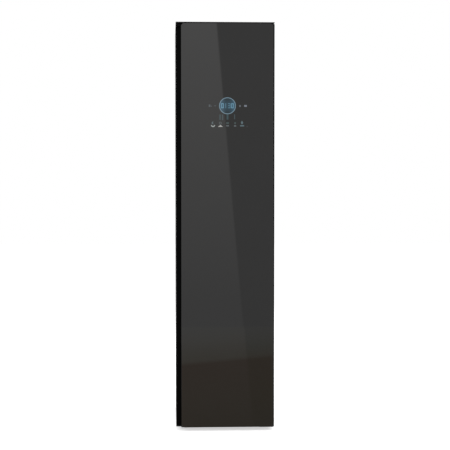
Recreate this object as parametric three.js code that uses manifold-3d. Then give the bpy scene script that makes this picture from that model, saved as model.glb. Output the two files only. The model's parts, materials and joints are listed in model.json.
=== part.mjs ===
// A clothes care steam cabinet: a tall, narrow free-standing cupboard with a full-height tinted
// glass door. Behind the door is a hanging chamber with a rocking hanger bar, a shelf, a trouser
// press on the door and two lift-out water tanks; under the chamber floor are the air duct, the
// heat pump, the steam generator and the pump; above its ceiling is the hanger drive.
// Millimetres, +Z up, the glass faces -Y, origin on the floor under the middle of the cabinet.
import * as THREE from 'three';
import { mergeVertices } from 'three/addons/utils/BufferGeometryUtils.js';
import Module from 'manifold-3d';

const wasm = await Module();
wasm.setup();

// Overall size: glass to back panel, floor to top cover.
const overallWidth = 445;
const overallDepth = 585;
const overallHeight = 1850;

// Clearances.
const seatGap = 0.3;
const runGap = 0.5;
const overrun = 2;

// Outer cabinet.
const sheet = 2;
const topCoverThickness = 4;
const topCoverSetback = 2;
const footHeight = 17;
const panHeight = 25;
const panelFlange = 18;

// Door.
const glassThickness = 4;
const glassCornerRadius = 16;
const gripBandWidth = 24;
const glassRightMargin = 4;
const doorShellDepth = 38;
const doorSheet = 2;
const doorCapHeight = 12;
const gasketThickness = 9.5;
const gasketWidth = 12;
const gasketMargin = 4;
const hingePlateThickness = 3;
const hingeInset = 16.5;
const hingeSetback = 12;
const hingePinRadius = 4;
const doorLiftGap = 1.3;
const glassTopGap = 1.4;

// Mouth and chamber.
const sideRoomWidth = 32.5;
const backRoomDepth = 91;
const mouthHeightFromFloor = 258;
const topRoomHeight = 103;
const machineRoomHeight = 413;
const linerWall = 3;
const bayDepth = 150;
const shelfRise = 310;
const hangerBarDrop = 78;

// Planes worked out from the sizes above.
const rightFace = overallWidth / 2;
const leftFace = -rightFace;
const frontFace = -overallDepth / 2;
const rearFace = overallDepth / 2;
const innerSide = rightFace - sheet;
const baseBottom = footHeight;
const baseTop = baseBottom + sheet;
const topCoverBottom = overallHeight - topCoverThickness;
const shellFront = frontFace + glassThickness + seatGap;
const shellBack = shellFront + doorShellDepth;
const doorLinerFront = shellBack + seatGap;
const doorLinerBack = doorLinerFront + doorSheet;
const gasketFront = doorLinerBack + seatGap;
const cabinetFront = gasketFront + gasketThickness + seatGap;
const frameBack = cabinetFront + sheet;
const backPanelFront = rearFace - sheet;
const hingeX = rightFace - hingeInset;
const hingeY = shellBack - hingeSetback;
const upperHingeBottom = topCoverBottom - seatGap - hingePlateThickness;
const doorTop = upperHingeBottom - doorLiftGap;
const glassTop = topCoverBottom - glassTopGap;
const lowerHingeTop = baseBottom - seatGap;
const doorBottom = lowerHingeTop + doorLiftGap;
const frameTop = upperHingeBottom - seatGap;
const mouthHalf = innerSide - sideRoomWidth;
const mouthBottom = mouthHeightFromFloor;
const ceilingTop = topCoverBottom - topRoomHeight;
const ceilingBottom = ceilingTop - linerWall;
const chamberFloor = baseBottom + machineRoomHeight;
const floorUnder = chamberFloor - linerWall;
const linerFront = frameBack + seatGap;
const linerBackInner = backPanelFront - backRoomDepth;
const linerBack = linerBackInner + linerWall;
const bayBackInner = linerFront + bayDepth;
const bayBack = bayBackInner + linerWall;
const shelfHeight = chamberFloor + shelfRise;
const railY = (linerFront + linerBackInner) / 2;

// Geometry helpers. A range is [lowest, highest].
const xAxis = new THREE.Vector3(1, 0, 0);
const yAxis = new THREE.Vector3(0, 1, 0);
const zAxis = new THREE.Vector3(0, 0, 1);
const drawnFromFront = new THREE.Matrix4().makeBasis(xAxis, zAxis, yAxis.clone().negate());
const drawnFromSide = new THREE.Matrix4().makeBasis(yAxis, zAxis, xAxis);
const cylinderAlong = {
  x: new THREE.Matrix4().makeRotationZ(-Math.PI / 2),
  y: new THREE.Matrix4(),
  z: new THREE.Matrix4().makeRotationX(Math.PI / 2),
};

// Sides of a round piece: more as it gets larger.
const sidesBySize = [
  { upTo: 6, sides: 12 },
  { upTo: 15, sides: 16 },
  { upTo: 30, sides: 24 },
];
const mostSides = 32;
const sidesFor = (radius) => sidesBySize.find((row) => radius < row.upTo)?.sides ?? mostSides;

function toSolid(geometry) {
  const bare = new THREE.BufferGeometry();
  bare.setAttribute('position', geometry.getAttribute('position'));
  if (geometry.index) bare.setIndex(geometry.index);
  const merged = mergeVertices(bare);
  return new wasm.Manifold(new wasm.Mesh({
    numProp: 3,
    vertProperties: merged.getAttribute('position').array,
    triVerts: new Uint32Array(merged.index.array),
  }));
}

function toGeometry(solid) {
  const mesh = solid.getMesh();
  const geometry = new THREE.BufferGeometry();
  geometry.setAttribute('position', new THREE.BufferAttribute(mesh.vertProperties, 3));
  geometry.setIndex(new THREE.BufferAttribute(mesh.triVerts, 1));
  return geometry;
}

const middle = (range) => (range[0] + range[1]) / 2;
const around = (centre, width) => [centre - width / 2, centre + width / 2];
const sorted = (a, b) => [Math.min(a, b), Math.max(a, b)];

function box(x, y, z) {
  const geometry = new THREE.BoxGeometry(x[1] - x[0], y[1] - y[0], z[1] - z[0]);
  geometry.translate(middle(x), middle(y), middle(z));
  return toSolid(geometry);
}

// A cylinder along one axis; at gives its places on the other two, in x, y, z order.
function rod(axis, radius, range, at, sides = sidesFor(radius)) {
  const geometry = new THREE.CylinderGeometry(radius, radius, range[1] - range[0], sides);
  geometry.applyMatrix4(cylinderAlong[axis]);
  const place = { x: [middle(range), at[0], at[1]], y: [at[0], middle(range), at[1]] };
  geometry.translate(...(place[axis] ?? [at[0], at[1], middle(range)]));
  return toSolid(geometry);
}

function join(first, ...rest) {
  return rest.reduce((sum, solid) => sum.add(solid), first);
}

function cut(first, ...tools) {
  return tools.reduce((left, tool) => left.subtract(tool), first);
}

// Copies of a solid spread evenly round the x or y axis.
function turnedAbout(axis, solid, count) {
  return Array.from({ length: count }, (unused, i) => {
    const degrees = i * 360 / count;
    return solid.rotate(axis === 'x' ? [degrees, 0, 0] : [0, degrees, 0]);
  });
}

function roundedOutline(x, y, radius) {
  const shape = new THREE.Shape();
  shape.moveTo(x[0] + radius, y[0]);
  shape.lineTo(x[1] - radius, y[0]);
  shape.absarc(x[1] - radius, y[0] + radius, radius, -Math.PI / 2, 0);
  shape.lineTo(x[1], y[1] - radius);
  shape.absarc(x[1] - radius, y[1] - radius, radius, 0, Math.PI / 2);
  shape.lineTo(x[0] + radius, y[1]);
  shape.absarc(x[0] + radius, y[1] - radius, radius, Math.PI / 2, Math.PI);
  shape.lineTo(x[0], y[0] + radius);
  shape.absarc(x[0] + radius, y[0] + radius, radius, Math.PI, Math.PI * 1.5);
  return shape;
}

function extruded(shape, length, curveSegments = 4) {
  return new THREE.ExtrudeGeometry(shape, { depth: length, bevelEnabled: false, curveSegments });
}

// A plate seen from the front, with rounded corners.
function frontPlate(x, y, z, radius) {
  const geometry = extruded(roundedOutline(x, z, radius), y[1] - y[0]);
  geometry.applyMatrix4(drawnFromFront);
  geometry.translate(0, y[1], 0);
  return toSolid(geometry);
}

// A plate seen from above, with rounded corners.
function topPlate(x, y, z, radius) {
  const geometry = extruded(roundedOutline(x, y, radius), z[1] - z[0]);
  geometry.translate(0, 0, z[0]);
  return toSolid(geometry);
}

// A pipe through a list of points, closed at both ends.
function pipe(points, radius, steps, sides = 10) {
  const path = new THREE.CatmullRomCurve3(points.map((p) => new THREE.Vector3(...p)), false, 'centripetal');
  const section = new THREE.Shape();
  section.absarc(0, 0, radius, 0, Math.PI * 2);
  const geometry = new THREE.ExtrudeGeometry(section, {
    steps,
    extrudePath: path,
    curveSegments: sides / 2,
    bevelEnabled: false,
  });
  return toSolid(geometry);
}

function lathe(profile, at, sides) {
  const geometry = new THREE.LatheGeometry(profile.map((p) => new THREE.Vector2(...p)), sides);
  geometry.applyMatrix4(cylinderAlong.z);
  geometry.translate(...at);
  return toSolid(geometry);
}

// Finishes.
function finish(color, roughness, metalness) {
  return new THREE.MeshStandardMaterial({ color, roughness, metalness });
}

const tintedGlass = finish(0x2b2b2b, 0.06, 0.1);
const blackSteel = finish(0x141414, 0.4, 0.6);
const blackTrim = finish(0x0c0c0c, 0.35, 0.8);
const darkPlastic = finish(0x2a2c2e, 0.5, 0);
const lightPlastic = finish(0xb9bbbd, 0.45, 0);
const clearPlastic = finish(0x8fa3ad, 0.15, 0);
const bareSteel = finish(0xa7a9ab, 0.35, 0.9);
const rubber = finish(0x1c1c1d, 0.8, 0);
const foam = finish(0xd9d4c8, 0.9, 0);
const boardGreen = finish(0x1e4a35, 0.6, 0);
const lampWhite = finish(0xf2f4f5, 0.3, 0);

function piece(name, solid, material) {
  const mesh = new THREE.Mesh(toGeometry(solid), material);
  mesh.name = name;
  return mesh;
}

function group(...members) {
  const made = new THREE.Group();
  made.add(...members);
  return made;
}

// Outer cabinet: pan, side panels, top cover, back panel, front frame and its service cover.
const flangeBack = backPanelFront - seatGap;
const flangeFront = flangeBack - sheet;
const frameHalf = innerSide - seatGap;
const footRadius = 20;
const studRadius = 5;
const footSideInset = 42;
const frontFootSetback = 107;
const rearFootInset = 42;
const frontFootY = frontFace + frontFootSetback;
const rearFootY = rearFace - rearFootInset;
const footX = rightFace - footSideInset;
const footPlaces = [
  { name: 'front_foot_left', x: -footX, y: frontFootY },
  { name: 'front_foot_right', x: footX, y: frontFootY },
  { name: 'rear_foot_left', x: -footX, y: rearFootY },
  { name: 'rear_foot_right', x: footX, y: rearFootY },
];

function basePan() {
  const y = [frameBack + seatGap, flangeFront - seatGap];
  const outer = box([-frameHalf, frameHalf], y, [baseBottom, baseBottom + panHeight]);
  const hollow = box(
    [sheet - frameHalf, frameHalf - sheet],
    [y[0] + sheet, y[1] - sheet],
    [baseTop, baseBottom + panHeight + overrun],
  );
  const holes = footPlaces.map((foot) =>
    rod('z', studRadius + runGap, [baseBottom - overrun, baseTop + overrun], [foot.x, foot.y]));
  return piece('base_pan', cut(outer, hollow, ...holes), blackSteel);
}

function sidePanel(name, side) {
  const z = [baseBottom, topCoverBottom - seatGap];
  const skin = box(sorted(side * innerSide, side * rightFace), [cabinetFront, flangeBack], z);
  const flange = box(
    sorted(side * (innerSide - panelFlange), side * (rightFace - sheet / 2)),
    [flangeFront, flangeBack],
    z,
  );
  return piece(name, join(skin, flange), blackSteel);
}

function topCover() {
  const cornerRadius = 3;
  const y = [frontFace + topCoverSetback, rearFace];
  return piece(
    'top_cover',
    topPlate([leftFace, rightFace], y, [topCoverBottom, overallHeight], cornerRadius),
    blackSteel,
  );
}

// The machine room fan sits behind a grille of level slots; the mains lead leaves by a gland.
const fanRadius = 52;
const fanSideInset = 115.5;
const fanHeight = 131;
const fanCentre = [innerSide - fanSideInset, baseTop + fanHeight];
const glandRadius = 8;
const glandSideInset = 54.5;
const glandHeight = 45;
const glandPlace = [leftFace + glandSideInset, baseBottom + glandHeight];

function backPanel() {
  const slotHeight = 5;
  const slotPitch = 10;
  const slotCount = 10;
  const skin = box([leftFace, rightFace], [backPanelFront, rearFace], [baseBottom, topCoverBottom - seatGap]);
  const slots = Array.from({ length: slotCount }, (unused, i) => {
    const z = fanCentre[1] + (i - (slotCount - 1) / 2) * slotPitch;
    const half = Math.sqrt(fanRadius ** 2 - (z - fanCentre[1]) ** 2);
    return box(
      [fanCentre[0] - half, fanCentre[0] + half],
      [backPanelFront - overrun, rearFace + overrun],
      around(z, slotHeight),
    );
  });
  const gland = rod('y', glandRadius + seatGap, [backPanelFront - overrun, rearFace + overrun], glandPlace);
  return piece('back_panel', cut(skin, ...slots, gland), blackSteel);
}

// The door switch's plunger passes the frame above the mouth.
const plungerRadius = 4;
const plungerInset = 70;
const plungerPlace = [leftFace + plungerInset, topCoverBottom - topRoomHeight / 2];
const serviceInset = 38;
const serviceFromPan = 43;
const serviceUnderMouth = 52;
const serviceLap = 10;
const serviceHalf = mouthHalf - serviceInset;
const serviceOpening = {
  x: [-serviceHalf, serviceHalf],
  z: [baseTop + serviceFromPan, mouthBottom - serviceUnderMouth],
};

function frontFrame() {
  const y = [cabinetFront, frameBack];
  const through = [cabinetFront - overrun, frameBack + overrun];
  const plate = box([-frameHalf, frameHalf], y, [baseBottom, frameTop]);
  const mouth = box([-mouthHalf, mouthHalf], through, [mouthBottom, ceilingBottom]);
  const service = box(serviceOpening.x, through, serviceOpening.z);
  const plunger = rod('y', plungerRadius + runGap, through, plungerPlace);
  return piece('front_frame', cut(plate, mouth, service, plunger), blackSteel);
}

function serviceCover() {
  const thickness = 3;
  const cornerRadius = 6;
  const slotWidth = 6;
  const slotPitch = 24;
  const slotCount = 11;
  const slotMargin = 28;
  const x = [serviceOpening.x[0] - serviceLap, serviceOpening.x[1] + serviceLap];
  const z = [serviceOpening.z[0] - serviceLap, serviceOpening.z[1] + serviceLap];
  const y = [cabinetFront - seatGap - thickness, cabinetFront - seatGap];
  const slots = Array.from({ length: slotCount }, (unused, i) => box(
    around((i - (slotCount - 1) / 2) * slotPitch, slotWidth),
    [y[0] - overrun, y[1] + overrun],
    [z[0] + slotMargin, z[1] - slotMargin],
  ));
  return piece('service_cover', cut(frontPlate(x, y, z, cornerRadius), ...slots), darkPlastic);
}

function foot(place) {
  const padHeight = 9;
  const nutRadius = 9;
  const nutHeight = 5;
  const nutSides = 6;
  const studTop = baseTop + panHeight / 2;
  const pad = rod('z', footRadius, [0, padHeight], [0, 0]);
  const nutTop = baseBottom - seatGap;
  const nut = rod('z', nutRadius, [nutTop - nutHeight, nutTop], [0, 0], nutSides);
  const stud = rod('z', studRadius, [0, studTop], [0, 0]);
  const made = piece(place.name, join(pad, nut, stud), rubber);
  made.position.set(place.x, place.y, 0);
  return made;
}

function cableGland() {
  const flangeRadius = 13;
  const flangeLength = 4;
  const tailLength = 16;
  const cordBore = 4;
  const y = [backPanelFront - tailLength, rearFace];
  const flangeEnd = backPanelFront - seatGap;
  const flange = rod('y', flangeRadius, [flangeEnd - flangeLength, flangeEnd], glandPlace);
  const tail = rod('y', glandRadius, y, glandPlace);
  const bore = rod('y', cordBore, [y[0] - overrun, y[1] + overrun], glandPlace);
  return piece('cable_gland', cut(join(flange, tail), bore), rubber);
}

// Hinge brackets: a plate fixed to the cabinet that runs out over or under the door, with a pin.
const hingePinLength = 10;
const hingePlateWidth = 66;

function hingePlate(z, back) {
  const cornerRadius = 8;
  const reach = 13;
  return topPlate(
    [frameHalf - hingePlateWidth, frameHalf],
    [hingeY - reach, back],
    z,
    cornerRadius,
  );
}

function upperHinge() {
  const lap = 30;
  const back = cabinetFront + lap;
  const z = [upperHingeBottom, upperHingeBottom + hingePlateThickness];
  const pin = rod('z', hingePinRadius, [upperHingeBottom - hingePinLength, z[1]], [hingeX, hingeY]);
  return piece('upper_hinge', join(hingePlate(z, back), pin), bareSteel);
}

function lowerHinge() {
  const back = frontFootY - footRadius - overrun;
  const z = [lowerHingeTop - hingePlateThickness, lowerHingeTop];
  const pin = rod('z', hingePinRadius, [z[0], lowerHingeTop + hingePinLength], [hingeX, hingeY]);
  return piece('lower_hinge', join(hingePlate(z, back), pin), bareSteel);
}

// Chamber liner: side walls, back, ceiling and the rear part of the floor in one moulding.
const travel = 12.1;
const postRadius = 7;
const postDistance = 90;
const shelfRail = { width: 9, height: 7, setback: 85.5, backGap: 49.5 };
const shelfRailY = [linerFront + shelfRail.setback, linerBackInner - shelfRail.backGap];
const filterSize = { sideGap: 48, depth: 62, height: 13, setback: 14 };
const filterHalf = mouthHalf - filterSize.sideGap;
const filterCentreY = bayBack + filterSize.setback + filterSize.depth / 2;
const outletSize = { sideGap: 38, depth: 56 };
const outletHalf = mouthHalf - outletSize.sideGap;
const outletInset = 24;
const outletCentreY = linerBackInner - outletInset - outletSize.depth / 2;
const nozzleHeight = 96;
const nozzleStemRadius = 7;
const nozzleZ = chamberFloor + nozzleHeight;
const lampSize = { width: 220, depth: 22, height: 6 };
const lampSetback = 60;
const lampY = linerFront + lampSetback;

function chamberLiner() {
  const outerHalf = mouthHalf + linerWall;
  const outer = box([-outerHalf, outerHalf], [linerFront, linerBack], [floorUnder, ceilingTop]);
  const hollow = box(
    [-mouthHalf, mouthHalf],
    [linerFront - overrun, linerBackInner],
    [chamberFloor, ceilingBottom],
  );
  const overBay = box(
    [-mouthHalf, mouthHalf],
    [linerFront - overrun, bayBackInner],
    [floorUnder - overrun, chamberFloor + overrun],
  );
  const filterHole = box(
    around(0, 2 * (filterHalf + runGap)),
    around(filterCentreY, filterSize.depth + 2 * runGap),
    [floorUnder - overrun, chamberFloor + overrun],
  );
  const outletHole = box(
    around(0, 2 * outletHalf),
    around(outletCentreY, outletSize.depth),
    [floorUnder - overrun, chamberFloor + overrun],
  );
  const slots = [-1, 1].map((side) => box(
    around(side * postDistance / 2, 2 * (postRadius + travel + 2 * runGap)),
    around(railY, 2 * (postRadius + 2 * runGap)),
    [ceilingBottom - overrun, ceilingTop + overrun],
  ));
  const lampHole = box(
    around(0, lampSize.width),
    around(lampY, lampSize.depth),
    [ceilingBottom - overrun, ceilingTop + overrun],
  );
  const nozzleHole = rod(
    'y', nozzleStemRadius + seatGap,
    [linerBackInner - overrun, linerBack + overrun],
    [0, nozzleZ],
  );
  const rails = [-1, 1].map((side) => box(
    sorted(side * (mouthHalf - shelfRail.width), side * (mouthHalf + linerWall / 2)),
    shelfRailY,
    [shelfHeight - shelfRail.height, shelfHeight],
  ));
  const shell = cut(outer, hollow, overBay, filterHole, outletHole, ...slots, lampHole, nozzleHole);
  return piece('chamber_liner', join(shell, ...rails), lightPlastic);
}

// Foam round the liner's sides and back; it keeps the steam's heat in.
const foamThickness = innerSide - seatGap - (mouthHalf + linerWall + seatGap);
const foamBackThickness = 20;

function insulationJacket() {
  const inner = mouthHalf + linerWall + seatGap;
  const z = [chamberFloor, ceilingTop];
  const back = linerBack + seatGap;
  const outerHalf = inner + foamThickness;
  const outer = box([-outerHalf, outerHalf], [linerFront, back + foamBackThickness], z);
  const core = box([-inner, inner], [linerFront - overrun, back], [z[0] - overrun, z[1] + overrun]);
  const stem = rod(
    'y', nozzleStemRadius + runGap,
    [back - overrun, back + foamBackThickness + overrun],
    [0, nozzleZ],
  );
  return piece('insulation_jacket', cut(outer, core, stem), foam);
}

function chamberLamp() {
  const lip = 4;
  const lipThickness = 2;
  const bodyTop = ceilingBottom + lampSize.height;
  const cover = box(
    around(0, lampSize.width + 2 * lip),
    around(lampY, lampSize.depth + 2 * lip),
    [ceilingBottom - seatGap - lipThickness, ceilingBottom - seatGap],
  );
  const body = box(
    around(0, lampSize.width - 2 * seatGap),
    around(lampY, lampSize.depth - 2 * seatGap),
    [ceilingBottom - seatGap - lipThickness / 2, bodyTop],
  );
  return piece('chamber_lamp', join(cover, body), lampWhite);
}

const nozzleFlange = 4;
const nozzleStemReach = 5;
const nozzleStemEnd = linerBack + foamBackThickness + nozzleStemReach;

function steamNozzle() {
  const domeRadius = 20;
  const domeDepth = 12;
  const jetRadius = 1.5;
  const jetCircle = 9;
  const jetCount = 5;
  const wallFace = linerBackInner - seatGap;
  const flange = rod('y', domeRadius, [wallFace - nozzleFlange, wallFace], [0, nozzleZ]);
  const dome = rod('y', domeRadius - nozzleFlange, [wallFace - domeDepth, wallFace], [0, nozzleZ]);
  const stem = rod('y', nozzleStemRadius, [wallFace - nozzleFlange / 2, nozzleStemEnd], [0, nozzleZ]);
  const jets = Array.from({ length: jetCount }, (unused, i) => {
    const angle = (i / jetCount) * Math.PI * 2 + Math.PI / 2;
    return rod(
      'y', jetRadius,
      [wallFace - domeDepth - overrun, wallFace - domeDepth + overrun],
      [jetCircle * Math.cos(angle), nozzleZ + jetCircle * Math.sin(angle)],
    );
  });
  return piece('steam_nozzle', cut(join(flange, dome, stem), ...jets), darkPlastic);
}

function outletGrille() {
  const lip = 5;
  const thickness = 3;
  const louvreWidth = 9;
  const louvrePitch = 18;
  const louvreCount = Math.floor(2 * (outletHalf - lip) / louvrePitch);
  const z = [chamberFloor + seatGap, chamberFloor + seatGap + thickness];
  const plate = topPlate(
    around(0, 2 * (outletHalf + lip)),
    around(outletCentreY, outletSize.depth + 2 * lip),
    z, lip,
  );
  const slots = Array.from({ length: louvreCount }, (unused, i) => box(
    around((i - (louvreCount - 1) / 2) * louvrePitch, louvreWidth),
    around(outletCentreY, outletSize.depth - 2 * lip),
    [z[0] - overrun, z[1] + overrun],
  ));
  return piece('outlet_grille', cut(plate, ...slots), darkPlastic);
}

// Removable wire-pattern shelf: a moulded frame with long slots, standing on the liner's rails.
const shelfClearance = 2;
const shelfThickness = 9;

function shelf() {
  const frameWidth = 16;
  const slatWidth = 8;
  const slatCount = 9;
  const cornerRadius = 12;
  const half = mouthHalf - shelfClearance;
  const y = [shelfRailY[0] - shelfClearance, shelfRailY[1] + shelfClearance];
  const z = [shelfHeight + seatGap, shelfHeight + seatGap + shelfThickness];
  const inner = { x: half - frameWidth, y: [y[0] + frameWidth, y[1] - frameWidth] };
  const pitch = 2 * inner.x / slatCount;
  const gaps = Array.from({ length: slatCount }, (unused, i) => box(
    around((i - (slatCount - 1) / 2) * pitch, pitch - slatWidth),
    inner.y,
    [z[0] - overrun, z[1] + overrun],
  ));
  return piece('shelf', cut(topPlate([-half, half], y, z, cornerRadius), ...gaps), darkPlastic);
}

// Lint filter: a cassette in the floor that lifts out by its tab.
const filterBottom = chamberFloor - filterSize.height;

function lintFilter() {
  const rim = 7;
  const rib = 5;
  const meshThickness = 1.5;
  const tabWidth = 44;
  const tabDepth = 5;
  const tabHeight = 12;
  const windowCount = 6;
  const x = [-filterHalf, filterHalf];
  const y = around(filterCentreY, filterSize.depth);
  const z = [filterBottom, chamberFloor];
  const pitch = (2 * (filterHalf - rim) + rib) / windowCount;
  const windows = Array.from({ length: windowCount }, (unused, i) => box(
    around((i - (windowCount - 1) / 2) * pitch, pitch - rib),
    [y[0] + rim, y[1] - rim],
    [z[0] + meshThickness, z[1] + overrun],
  ));
  const holeWidth = 3;
  const holePitch = 14;
  const rows = Math.round(2 * (filterHalf - rim) / holePitch);
  const strainer = Array.from({ length: rows }, (unused, i) => box(
    around((i - (rows - 1) / 2) * holePitch, holeWidth),
    [y[0] + rim + rib, y[1] - rim - rib],
    [z[0] - overrun, z[0] + meshThickness + seatGap],
  ));
  const handle = box(around(0, tabWidth), around(filterCentreY, tabDepth), [z[0], z[1] + tabHeight]);
  return piece('lint_filter', join(cut(box(x, y, z), ...windows, ...strainer), handle), darkPlastic);
}

// Tank bay: a tray in front of the machine room, open to the front and to the chamber above.
const bayLipSetback = 11;
const bayLipHeight = 22;
const bayRibHeight = 70;
const valveRadius = 9;
const tankClearance = 1.5;
const tankHeight = 140;
const tankWall = 2.5;
const tankFront = linerFront + bayLipSetback + linerWall + tankClearance / 2;
const tankBack = bayBackInner - tankClearance / 2;
const tankInnerSide = linerWall / 2 + tankClearance;
const tankOuterSide = mouthHalf - tankClearance;
const tankCentreX = (tankInnerSide + tankOuterSide) / 2;
const valveY = (tankFront + tankBack) / 2;

function tankBay() {
  const outerHalf = mouthHalf + linerWall;
  const outer = box(
    [-outerHalf, outerHalf],
    [linerFront, bayBack],
    [mouthBottom - linerWall, floorUnder - seatGap],
  );
  const hollow = box(
    [-mouthHalf, mouthHalf],
    [linerFront - overrun, bayBackInner],
    [mouthBottom, floorUnder + overrun],
  );
  const lip = box(
    [-mouthHalf - linerWall / 2, mouthHalf + linerWall / 2],
    [linerFront + bayLipSetback, linerFront + bayLipSetback + linerWall],
    [mouthBottom - linerWall / 2, mouthBottom + bayLipHeight],
  );
  const rib = box(
    around(0, linerWall),
    [linerFront + bayLipSetback + linerWall / 2, bayBackInner + linerWall / 2],
    [mouthBottom - linerWall / 2, mouthBottom + bayRibHeight],
  );
  const sockets = [-1, 1].map((side) => rod(
    'z', valveRadius,
    [mouthBottom - linerWall - overrun, mouthBottom + overrun],
    [side * tankCentreX, valveY],
  ));
  return piece('tank_bay', cut(join(cut(outer, hollow), lip, rib), ...sockets), lightPlastic);
}

const handleSpan = 110;
const handleReach = 42;
const handleThickness = 7;
const handlePinRadius = 2.5;
const fillerRadius = 19;
const fillerOffset = [-46, -38];
const capHingeReach = 9;
const tankLidThickness = 4;
const capThickness = 4;
const earThickness = 4;
const tankBottom = mouthBottom + seatGap;
const tankRim = tankBottom + tankHeight;
const lidTop = tankRim + seatGap + tankLidThickness;
const tankWidth = tankOuterSide - tankInnerSide;
const tankDepth = tankBack - tankFront;
const handleAxisZ = lidTop + handleThickness / 2 + runGap;
const capHingeY = fillerOffset[1] + fillerRadius + capHingeReach;
const capAxisZ = lidTop + capThickness / 2 + runGap;

// One tank is drawn round its own middle and stands left or right of the rib.
function tank(prefix, side) {
  const cornerRadius = 10;
  const x = around(0, tankWidth);
  const y = around(0, tankDepth);
  const innerX = around(0, tankWidth - 2 * tankWall);
  const innerY = around(0, tankDepth - 2 * tankWall);
  const body = cut(
    topPlate(x, y, [tankBottom, tankRim], cornerRadius),
    topPlate(innerX, innerY, [tankBottom + tankWall, tankRim + overrun], cornerRadius - tankWall),
  );

  const skirtDepth = 6;
  const skirtX = around(0, tankWidth - 2 * tankWall - 2 * seatGap);
  const skirtY = around(0, tankDepth - 2 * tankWall - 2 * seatGap);
  const plate = topPlate(x, y, [tankRim + seatGap, lidTop], cornerRadius);
  const lidMiddle = tankRim + seatGap + tankLidThickness / 2;
  const skirt = cut(
    topPlate(skirtX, skirtY, [tankRim - skirtDepth, lidMiddle], cornerRadius - tankWall),
    box(
      around(0, tankWidth - 4 * tankWall),
      around(0, tankDepth - 4 * tankWall),
      [tankRim - skirtDepth - overrun, lidMiddle - tankLidThickness / 4],
    ),
  );
  const filler = rod('z', fillerRadius, [tankRim - overrun, lidTop + overrun], fillerOffset);
  const handleEars = [-1, 1].map((s) => join(
    box(
      around(s * (handleSpan / 2 + runGap + earThickness / 2), earThickness),
      around(0, handleThickness + earThickness),
      [lidTop - tankLidThickness / 2, handleAxisZ + handleThickness / 2],
    ),
    rod(
      'x', handlePinRadius,
      around(s * (handleSpan / 2 - handleThickness / 4), handleThickness / 2 + earThickness),
      [0, handleAxisZ],
    ),
  ));
  const knuckleRadius = capThickness / 2;
  const knuckleHalf = 7;
  const capEars = [-1, 1].map((s) => join(
    box(
      around(fillerOffset[0] + s * (knuckleHalf + runGap + earThickness / 2), earThickness),
      around(capHingeY, 2 * knuckleRadius + earThickness / 2),
      [lidTop - tankLidThickness / 2, capAxisZ + knuckleRadius],
    ),
    rod(
      'x', knuckleRadius / 2,
      around(fillerOffset[0] + s * knuckleHalf, earThickness),
      [capHingeY, capAxisZ],
    ),
  ));
  const lid = join(cut(join(plate, skirt), filler), ...handleEars, ...capEars);

  const z = around(capAxisZ, capThickness);
  const cap = cut(
    join(
      rod('z', fillerRadius + capThickness, z, fillerOffset),
      box(around(fillerOffset[0], 2 * knuckleHalf), [fillerOffset[1], capHingeY], z),
      rod('x', knuckleRadius, around(fillerOffset[0], 2 * knuckleHalf), [capHingeY, capAxisZ]),
    ),
    rod(
      'x', knuckleRadius / 2 + runGap / 2,
      around(fillerOffset[0], 2 * knuckleHalf + 2 * overrun),
      [capHingeY, capAxisZ],
    ),
  );

  const armX = handleSpan / 2 - handleThickness / 2;
  const bar = around(handleAxisZ, handleThickness);
  const arms = [-1, 1].map((s) => join(
    box(around(s * armX, handleThickness), [0, handleReach], bar),
    rod('x', handleThickness / 2, around(s * armX, handleThickness), [0, handleAxisZ]),
  ));
  const gripY = [handleReach - handleThickness, handleReach + handleThickness / 2];
  const grip = box(around(0, handleSpan), gripY, bar);
  const pinBore = rod(
    'x', handlePinRadius + runGap / 2, around(0, handleSpan + 2 * overrun), [0, handleAxisZ],
  );
  const handle = cut(join(grip, ...arms), pinBore);

  const made = group(
    piece(`${prefix}_tank`, body, clearPlastic),
    piece(`${prefix}_tank_lid`, lid, darkPlastic),
    piece(`${prefix}_tank_cap`, cap, lightPlastic),
    piece(`${prefix}_tank_handle`, handle, darkPlastic),
  );
  made.position.set(side * tankCentreX, valveY, 0);
  return made;
}

// Hanger drive: a carriage slides on a rail above the ceiling and carries the bar on two posts;
// a crank pin in the carriage's slot rocks it from side to side.
const railHalf = 95;
const railThickness = 6;
const railDepth = 34;
const railLegThickness = 4;
const railRise = 14;
const railBottom = ceilingTop + railRise;
const gearmotorHeight = 36;
const driveHeadroom = 7.7;
const carriageHalf = 60;
const carriageWall = 6;
const bridgeThickness = 3;
const bridgeTop = topCoverBottom - driveHeadroom - gearmotorHeight - seatGap;
const bridgeBottom = bridgeTop - bridgeThickness;
const crankRadius = 14;
const crankPinRadius = 4;
const crankDiscRadius = 22;
const crankDiscThickness = 5;
const crankShaftRadius = 5;
const crankSwing = 60;
const yokeSlotSlack = 1;
const carriageRoof = railBottom + railThickness + 2 * runGap + carriageWall;
const crankDiscBottom = bridgeBottom - seatGap - crankDiscThickness;
const crankPinBottom = carriageRoof - carriageWall + runGap;

function driveFrame() {
  const y = around(railY, railDepth);
  const footLength = 22;
  const rail = box([-railHalf, railHalf], y, [railBottom, railBottom + railThickness]);
  const legs = [-1, 1].map((s) => box(
    around(s * (railHalf + railLegThickness / 2), railLegThickness + overrun / 2),
    around(railY, 2 * railDepth),
    [ceilingTop + seatGap, bridgeTop],
  ));
  const feet = [-1, 1].map((s) => box(
    around(s * (railHalf + footLength / 2), footLength),
    around(railY, 2 * railDepth),
    [ceilingTop + seatGap, ceilingTop + seatGap + railLegThickness],
  ));
  const bridge = box(
    [-railHalf - railLegThickness, railHalf + railLegThickness],
    around(railY, 2 * railDepth),
    [bridgeBottom, bridgeTop],
  );
  const shaftHole = rod(
    'z', crankShaftRadius + runGap,
    [bridgeBottom - overrun, bridgeTop + overrun],
    [0, railY],
  );
  return piece('drive_frame', join(cut(bridge, shaftHole), rail, ...legs, ...feet), bareSteel);
}

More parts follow.
